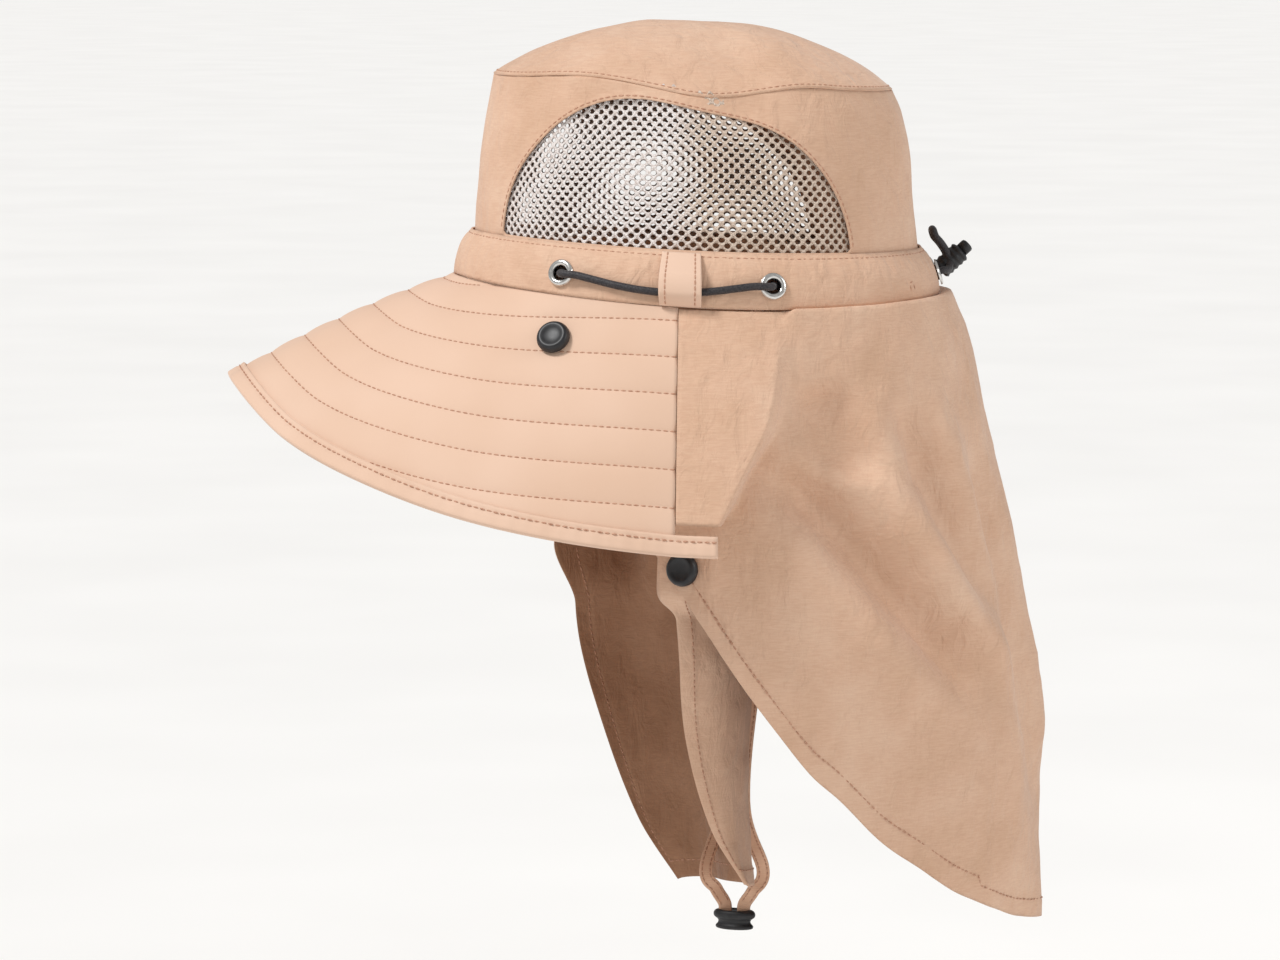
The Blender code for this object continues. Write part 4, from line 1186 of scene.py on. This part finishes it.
def folds_at(t, share):
    depth = 0.0
    for top_t, top, low_t, low, deep, half in FLAP_FOLDS:
        along_fold = (share - top) / (low - top)
        fade = smooth(along_fold / 0.3) * smooth((1.15 - along_fold) / 0.35)
        centre = top_t + (low_t - top_t) * min(max(along_fold, 0.0), 1.15)
        across = turn_between(t, centre)
        ridge = 0.45 * deep * (bump(across - 1.6 * half, half) + bump(across + 1.6 * half, half))
        depth += fade * (deep * bump(across, half) - ridge)
    return depth * FOLD_DEPTH


def mirror_angle(t):
    return t if t <= 90.0 else 180.0 - t


def hem_drop(t):
    corner = FLAP_CORNER if t <= 90.0 else 180.0 - FLAP_CORNER_FAR
    share = (mirror_angle(t) - corner) / (90.0 - corner)
    if t > 90.0:
        share -= 0.13 * math.sin(math.pi * min(max(share, 0.0), 1.0)) * smooth((share - 0.08) / 0.25)
    return along(FLAP_HEM, FLAP_CORNER + (90.0 - FLAP_CORNER) * share) * FLAP_DROP


def hem_slant(hem):
    """Distance square to the hem per distance straight down: the hem runs steeply except at the back."""
    return 0.62 if hem < FLAP_DROP * 0.95 else 0.9


def body_point(t, drop):
    share = drop / FLAP_DROP
    width = (HALF_WIDTH + BAND_FLARE) * along(FLAP_LEVELS, share, 1)
    length = (HALF_LENGTH + BAND_FLARE) * along(FLAP_LEVELS, share, 2)
    a = math.radians(t)
    out = -folds_at(t, share)
    near = mirror_angle(t)
    tuck = CORNER_TUCK * smooth((-1.0 - near) / 12.0) * smooth((drop - 0.07) / 0.04)
    side = math.copysign(1.0, math.cos(a))
    x = (width + out) * math.cos(a) - side * tuck
    y = (length + out) * math.sin(a)
    fall = 1.0 - smooth(share / 0.5)
    return Vector((x, y, rim_height(t, y) * fall - drop))


def flap_point(t, drop):
    """A point of the flap: the wing in line with the peak, its fold, and the hanging part."""
    near = mirror_angle(t)
    body = body_point(t, drop)
    roll = FLAP_ROLL * smooth(drop / 0.004)
    rise = 0.0045 * smooth(drop / 0.004) * bump((drop - 0.004) / 0.004, 1.0) * smooth((near - 4.0) / 14.0)
    normal = Vector((math.cos(math.radians(t)), math.sin(math.radians(t)), 0.0))
    body += normal * roll * (1.0 - smooth(drop / 0.12))
    body.z += rise
    if drop > FOLD_DROP + 0.003 or near > 30.0:
        return body
    ridge = along(RIDGE_LINE, drop / FOLD_DROP)
    part = smooth((ridge + RIDGE_TURN - near) / RIDGE_TURN)
    part *= 1.0 - smooth((drop - FOLD_DROP) / 0.0025)
    width_share = drop / math.sin(math.radians(PEAK_SLOPES[-1][1])) / PEAK_WIDTH
    wing = peak_point(near, width_share)
    if t > 90.0:
        wing.x = -wing.x
    return body.lerp(wing, part)


def flap_normal(t, drop):
    return outward(t, -drop, lambda t, height: flap_point(t, -height))


def creased(t, drop):
    """The flap's face with its hem and the creases of light cloth."""
    plain = flap_point(t, drop)
    hem = hem_drop(t)
    near_ridge = smooth((mirror_angle(t) - along(RIDGE_LINE, drop / FOLD_DROP) - RIDGE_TURN) / 5.0)
    loose = near_ridge if drop < FOLD_DROP + 0.004 else 1.0
    snapped = 1.0
    for snap in (FLAP_SNAP_NEAR, FLAP_SNAP_FAR):
        away = math.hypot(turn_between(t, snap) * FLAP_PER_DEGREE, drop - FLAP_SNAP_DROP)
        snapped = min(snapped, smooth((away - 0.007) / 0.012))
    run = Vector((plain.x, plain.y, plain.z * 0.62))
    out = (0.0024 * crumple(run, 0.052, 1.0) + 0.0013 * crumple(run, 0.020, 4.0)) * loose * snapped
    out += 0.0005 * crumple(plain, 0.009, 6.0) * loose * snapped
    out *= smooth(drop / 0.012)
    above_hem = (hem - drop) * hem_slant(hem)
    out += 0.0005 * (1.0 - smooth((above_hem - HEM_WIDTH) / 0.0008))
    out -= 0.0005 * bump((above_hem - HEM_WIDTH * 0.90) / 0.0006, 1.0)
    pucker = math.sin(t * 7.0 + 2.0 * math.sin(t * 1.3)) * bump((above_hem - HEM_WIDTH) / 0.004, 1.0)
    out += 0.00025 * pucker
    return plain + flap_normal(t, drop) * out


def flap_angle(u, drop, lower):
    """The angle at a share u of the way round the flap. Its columns follow the folds' ridges."""
    clear = 0.12
    start = PEAK_END + clear + (FLAP_CORNER - PEAK_END - clear) * lower
    end = 180.0 - PEAK_END - clear + (FLAP_CORNER_FAR - 180.0 + PEAK_END + clear) * lower
    ridge = along(RIDGE_LINE, drop / FOLD_DROP)
    turned_in = ridge + RIDGE_TURN
    knots = (
        (0.0, start),
        (0.08, ridge),
        (0.14, turned_in),
        (0.86, 180.0 - turned_in),
        (0.92, 180.0 - ridge),
        (1.0, end),
    )
    for (low, before), (high, after) in zip(knots, knots[1:]):
        if u <= high:
            return before + (after - before) * (u - low) / (high - low)
    return end


def make_flap():
    columns, rows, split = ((250, 150, 60))

    def point(u, v):
        row = round(v * rows)
        lower = smooth(max(row - split, 0) / 4.0)
        if row <= split:
            drop = GAP * 2 + (FOLD_DROP - GAP * 2) * (row / split) ** 1.2
            return creased(flap_angle(u, drop, lower), drop)
        t = flap_angle(u, FOLD_DROP, lower)
        hem = hem_drop(t)
        fold_end = min(FOLD_DROP + 0.003, hem)
        share = (row - split - 1) / (rows - split - 1)
        return creased(t, fold_end + (hem - fold_end) * share)

    piece = cloth_face("neck_cloth", point, columns, rows, CLOTH, CRINKLED, flip=True)
    hand_in(piece, "shell_cloth", "neck_flap")
    line = []
    for k in range(301):
        t = FLAP_CORNER + 0.8 + (FLAP_CORNER_FAR - FLAP_CORNER - 1.6) * k / 300
        hem = hem_drop(t)
        drop = hem - HEM_WIDTH * 0.90 / hem_slant(hem)
        if drop > FOLD_DROP + 0.012:
            normal = flap_normal(t, drop)
            line.append((creased(t, drop) + normal * 0.0003, normal))
    stitches("flap_hem_stitching", [line])


# Face cover


def snap_patch(t, way, along_cloth, down):
    """The face cover's cloth where it lies flat behind a snap of the flap."""
    t += way * (along_cloth - SNAP_MARGIN) / FLAP_PER_DEGREE
    drop = FLAP_SNAP_DROP + down - SNAP_MARGIN
    return flap_point(t, drop) - flap_normal(t, drop) * (FLAP_WALL + GAP * 2.5 + COVER_WALL / 2)


def cover_point(across, share):
    """A point of the face cover: across goes from the near edge to the far edge."""
    near = Vector((along(COVER_LEVELS, share, 1), along(COVER_LEVELS, share, 2), 0.0))
    far = Vector((along(COVER_LEVELS, share, 3), along(COVER_LEVELS, share, 4), 0.0))
    place = near.lerp(far, 0.5 - 0.5 * math.cos(math.pi * across))
    place.y += along(COVER_LEVELS, share, 5) * math.sin(math.pi * across)
    place *= COVER_HALF
    place.y += 0.0022 * math.sin(5.0 * math.pi * across + 2.2 * share) * math.sin(math.pi * across)
    place.z = -COVER_TOP - COVER_DROP * share - COVER_SLANT * (2.0 * across - 1.0)
    down = COVER_DROP * share
    for t, way, edge in ((FLAP_SNAP_NEAR, 1.0, across), (FLAP_SNAP_FAR, -1.0, 1.0 - across)):
        along_cloth = COVER_CLOTH * edge
        flat = 1.0 - smooth((along_cloth - 2 * SNAP_MARGIN) / SNAP_EASE)
        flat *= 1.0 - smooth((down - 2 * SNAP_MARGIN) / SNAP_EASE)
        if flat > 0.0:
            place = place.lerp(snap_patch(t, way, along_cloth, down), flat)
    return place


def cover_normal(across, share):
    a, b = min(across + 0.005, 1.0), max(across - 0.005, 0.0)
    c, d = min(share + 0.01, 1.0), max(share - 0.01, 0.0)
    over = cover_point(a, share) - cover_point(b, share)
    down = cover_point(across, c) - cover_point(across, d)
    return over.cross(down).normalized()


def draped(across, share):
    """The cover's face with its hems and creases. Its normal here points out of the hat's hollow."""
    plain = cover_point(across, share)
    from_edge = COVER_CLOTH * min(across, 1.0 - across) * 0.9
    from_foot = COVER_DROP * (1.0 - share)
    from_top = COVER_DROP * share
    held = smooth(math.hypot(max(from_edge - 0.004, 0.0), max(from_top - 0.004, 0.0)) / 0.030 - 0.45)
    run = Vector((plain.x, plain.y, plain.z * 0.5))
    out = (0.0022 * crumple(run, 0.034, 9.0) + 0.0008 * crumple(plain, 0.014, 2.5)) * held
    strip = max(
        1.0 - smooth((from_edge - HEM_WIDTH) / 0.0008),
        1.0 - smooth((from_foot - HEM_WIDTH) / 0.0008),
        1.0 - smooth((from_top - HEM_WIDTH) / 0.0008),
    )
    out -= 0.0005 * strip
    return plain + cover_normal(across, share) * out


def make_cover():
    piece = cloth_face("face_cloth", draped, 150, 110, CLOTH, CRINKLED, flip=True)
    piece.modifiers["wall"].offset = 0.0
    hand_in(piece, "shell_cloth", "face_cover")
    inset = (HEM_WIDTH * 0.88) / (COVER_CLOTH * 0.9)
    low = 1.0 - HEM_WIDTH * 0.88 / COVER_DROP
    lines = []
    near_hem = [(inset, 0.04 + (low - 0.04) * k / 80) for k in range(81)]
    far_hem = [(1.0 - inset, 0.04 + (low - 0.04) * k / 80) for k in range(81)]
    foot_hem = [(inset + (1.0 - 2 * inset) * k / 80, low) for k in range(81)]
    for face, paths in ((1.0, (near_hem, far_hem, foot_hem)), (-1.0, (near_hem, foot_hem))):
        for path in paths:
            line = []
            for across, share in path:
                normal = cover_normal(across, share) * face
                line.append((draped(across, share) + normal * CLOTH * 0.55, normal))
            lines.append(line)
    stitches("cover_stitching", lines)


# Snaps


def snap_cap(name, node, place, normal):
    """A dome snap's cap: a rolled rim round a shallow dished face."""
    radius, height = SNAP_DIAMETER / 2, SNAP_HEIGHT
    shape = (
        (0.00, 0.80),
        (0.20, 0.81),
        (0.40, 0.84),
        (0.55, 0.91),
        (0.66, 0.985),
        (0.74, 1.00),
        (0.83, 0.95),
        (0.91, 0.80),
        (0.97, 0.58),
        (1.00, 0.34),
        (0.985, 0.14),
        (0.94, 0.0),
        (0.0, 0.0),
    )
    cap = turned(name, [(radius * r, height * h) for r, h in shape], 56, ACETAL)
    hand_in(seat(cap, place, normal), "snap_plastic", node)


def make_snaps():
    for word, side in (("left", 1), ("right", -1)):
        place = peak_point(PEAK_SNAP_ANGLE, PEAK_SNAP_REACH)
        normal = peak_normal(PEAK_SNAP_ANGLE, PEAK_SNAP_REACH)
        snap_cap("dome_peak_" + word, "peak_snap_" + word, to_side(place, side), to_side(normal, side))
    for word, t in (("left", FLAP_SNAP_NEAR), ("right", FLAP_SNAP_FAR)):
        normal = flap_normal(t, FLAP_SNAP_DROP)
        place = flap_point(t, FLAP_SNAP_DROP)
        snap_cap("dome_flap_" + word, "flap_snap_" + word, place + normal * GAP, normal)
        radius, half = STUD_DIAMETER / 2, STUD_HEIGHT / 2
        ring = ((0.0, -half), (radius * 0.5, -half), (radius * 0.55, -half * 0.2), (radius * 0.7, 0.0))
        ring += ((radius * 0.75, -half * 0.9), (radius * 0.92, -half), (radius, -half * 0.5))
        ring += ((radius, half), (0.0, half))
        stud = turned("stud_" + word, tuple(reversed(ring)), 40, ACETAL)
        back = FLAP_WALL + COVER_WALL + GAP * 5 + half
        hand_in(seat(stud, place - normal * back, normal), "snap_plastic", "snap_stud_" + word)


# Chin strap


def lock_way(x, y=0.0):
    """A place on the chin lock, seen from above: it hangs turned by LOCK_TURN."""
    a = math.radians(LOCK_TURN)
    return Vector((x * math.cos(a) - y * math.sin(a), x * math.sin(a) + y * math.cos(a), 0.0))


def strap_route(side):
    top = crown_point(STRAP_ANGLE, 0.004, -0.0012 - GAP * 2 - STRAP_WALL)
    lock = Vector(CHIN_LOCK_PLACE)
    knots = [
        Vector((top.x, top.y, top.z + 0.004)),
        Vector((top.x * 0.985, top.y, top.z - 0.010)),
        Vector((top.x * 0.72, top.y, -0.085)),
        Vector((top.x * 0.45, lock.y + 0.0060, -0.170)),
        Vector((0.0250, lock.y + 0.0010, -0.235)),
    ]
    knots = [to_side(knot, side) for knot in knots]
    # The lock hangs turned, so one end goes in behind the other
    for x, rise in ((0.0140, 0.0240), (0.0090, 0.0135), (STRAP_HOLES, 0.0070), (STRAP_HOLES, 0.0014)):
        knots.append(lock + lock_way(side * x) + Vector((0.0, 0.0, rise)))
    return rounded(knots, 12)


def make_strap():
    lines = []
    for word, side in (("left", 1), ("right", -1)):
        route = strap_route(side)
        flats = []
        for k, place in enumerate(route):
            v = k / (len(route) - 1)
            way = route[min(k + 1, len(route) - 1)] - route[max(k - 1, 0)]
            hem_way = Vector((-side * math.sin(math.radians(STRAP_ANGLE)), 1.0, 0.0))
            flat = hem_way.lerp(Vector((0.0, 1.0, 0.0)), smooth(v * 2.0)).normalized()
            flat -= way * (flat.dot(way) / way.length_squared)
            flats.append(flat.normalized())

        def point(u, v, route=route, flats=flats):
            k = round(v * (len(route) - 1))
            return route[k] + flats[k] * STRAP_WIDTH * (u - 0.5)

        rows = len(route) - 1
        ribbon = cloth_face("ribbon_" + word, point, 8, rows, STRAP_WALL * 0.8, RIBBON, flip=side > 0)
        ribbon.modifiers["wall"].offset = 0.0
        hand_in(ribbon, "strap_ribbon", "chin_strap_" + word)
        for u in (-0.30, 0.30):
            line = []
            for k in range(2, len(route) - 14):
                way = route[k + 1] - route[k]
                normal = flats[k].cross(way).normalized()
                normal = normal if normal.x > 0 else -normal
                line.append((route[k] + flats[k] * STRAP_WIDTH * u + normal * STRAP_WALL * 0.42, normal))
            lines.append(line)
    stitches("ribbon_stitching", lines, "strap_ribbon", pitch=0.0026)

    lock = Vector(CHIN_LOCK_PLACE)
    length, width, height = CHIN_LOCK_LENGTH / 2, CHIN_LOCK_WIDTH / 2, CHIN_LOCK_HEIGHT
    # Height as a share of the lock's, girth as a share of its length and width
    rows = (
        (0.40, 0.0),
        (0.41, 0.30),
        (0.44, 0.56),
        (0.50, 0.68),
        (0.50, 0.80),
        (0.44, 0.92),
        (0.32, 0.99),
        (0.18, 0.99),
        (0.08, 0.92),
        (0.02, 0.80),
        (-0.10, 0.74),
        (-0.22, 0.78),
        (-0.30, 0.88),
        (-0.40, 0.90),
        (-0.48, 0.84),
        (-0.50, 0.70),
        (-0.50, 0.0),
    )

    def oval(u, v):
        share, girth = rows[round(v * (len(rows) - 1))]
        a = math.tau * u
        place = lock_way(length * girth * math.cos(a), width * girth * math.sin(a))
        return lock + place + Vector((0.0, 0.0, height * share))

    toggle = cloth_face("chin_toggle", oval, 64, len(rows) - 1, 0.0, ACETAL, flip=True)
    crease = toggle.modifiers.new("round", "SUBSURF")
    crease.levels = 1
    crease.render_levels = 1
    hand_in(toggle, "black_plastic", "chin_lock")


# Studio


def make_camera():
    a, e = math.radians(VIEW_ROUND), math.radians(VIEW_ABOVE)
    right = Vector((math.cos(a), math.sin(a), 0.0))
    back = Vector((math.sin(a) * math.cos(e), -math.cos(a) * math.cos(e), math.sin(e)))
    up = back.cross(right)
    camera = bpy.data.objects.new("camera", bpy.data.cameras.new("camera"))
    camera.data.lens = VIEW_LENS
    camera.data.sensor_width = 36.0
    camera.data.clip_end = 200.0
    turn = Matrix((right, up, back)).transposed().to_4x4()
    middle = right * MIDDLE_ACROSS + up * MIDDLE_UP
    camera.matrix_world = Matrix.Translation(middle + back * VIEW_DISTANCE) @ turn
    bpy.context.scene.collection.objects.link(camera)
    bpy.context.scene.camera = camera


def softbox(name, place, size, watts, aim=(0.0, 0.0, -0.08)):
    light = bpy.data.lights.new(name, "AREA")
    light.shape = "DISK"
    light.size = size
    light.energy = watts
    lamp = bpy.data.objects.new(name, light)
    lamp.location = place
    lamp.rotation_euler = (Vector(place) - Vector(aim)).to_track_quat("Z", "Y").to_euler()
    bpy.context.scene.collection.objects.link(lamp)


def make_studio():
    bm = bmesh.new()
    bmesh.ops.create_circle(bm, cap_ends=True, radius=60.0, segments=96)
    floor = from_bmesh("studio_floor", bm, 0.0, painted_studio())
    floor.location.z = -0.40
    world = bpy.data.worlds.new("studio")
    bpy.context.scene.world = world
    world.use_nodes = True
    world.node_tree.nodes["Background"].inputs["Color"].default_value = hexcolour("#fdfcfb")
    world.node_tree.nodes["Background"].inputs["Strength"].default_value = 0.46
    sun = bpy.data.lights.new("key", "SUN")
    sun.energy = 2.35
    sun.angle = math.radians(14.0)
    lamp = bpy.data.objects.new("key", sun)
    lamp.rotation_euler = Vector((0.34, -0.66, 0.90)).to_track_quat("Z", "Y").to_euler()
    bpy.context.scene.collection.objects.link(lamp)
    softbox("fill", (1.1, 2.0, 0.9), 0.9, 11.0)
    bpy.context.scene.view_settings.view_transform = "Standard"


make_camera()
DRILLS = []
CRINKLED = crinkled_polyester("crinkled_polyester", "#cba78d", "#d3af96", "#dab9a1")
# A darker copy of the shell cloth for the inner faces: painted shade
SHADED_INSIDE = crinkled_polyester("crinkled_polyester_shaded_inside", "#8f6a50", "#997359", "#a47e64")
SMOOTH = smooth_polyester()
# The net's pale front is painted light and its beiger back painted shade
KNITTED = knitted_mesh("knitted_mesh", "#f1ebe8", "#dccab9")
# A darker copy of the net for its inner faces: painted shade of the hat's hollow
KNITTED_SHADED_INSIDE = knitted_mesh("knitted_mesh_shaded_inside", "#8d7a6c", "#7d6552")
THREAD_FINISH = sewing_thread()
RIBBON = woven_ribbon()
ELASTIC = braided_elastic()
ACETAL = moulded_acetal()
NICKEL = nickel_plate()
make_cord()
make_crown()
make_net("left", 1)
make_net("right", -1)
crown_stitches()
make_band()
make_eyelets()
make_cord_lock()
make_loops()
make_peak()
make_flap()
make_cover()
make_snaps()
make_strap()
finish_drilling()
make_studio()
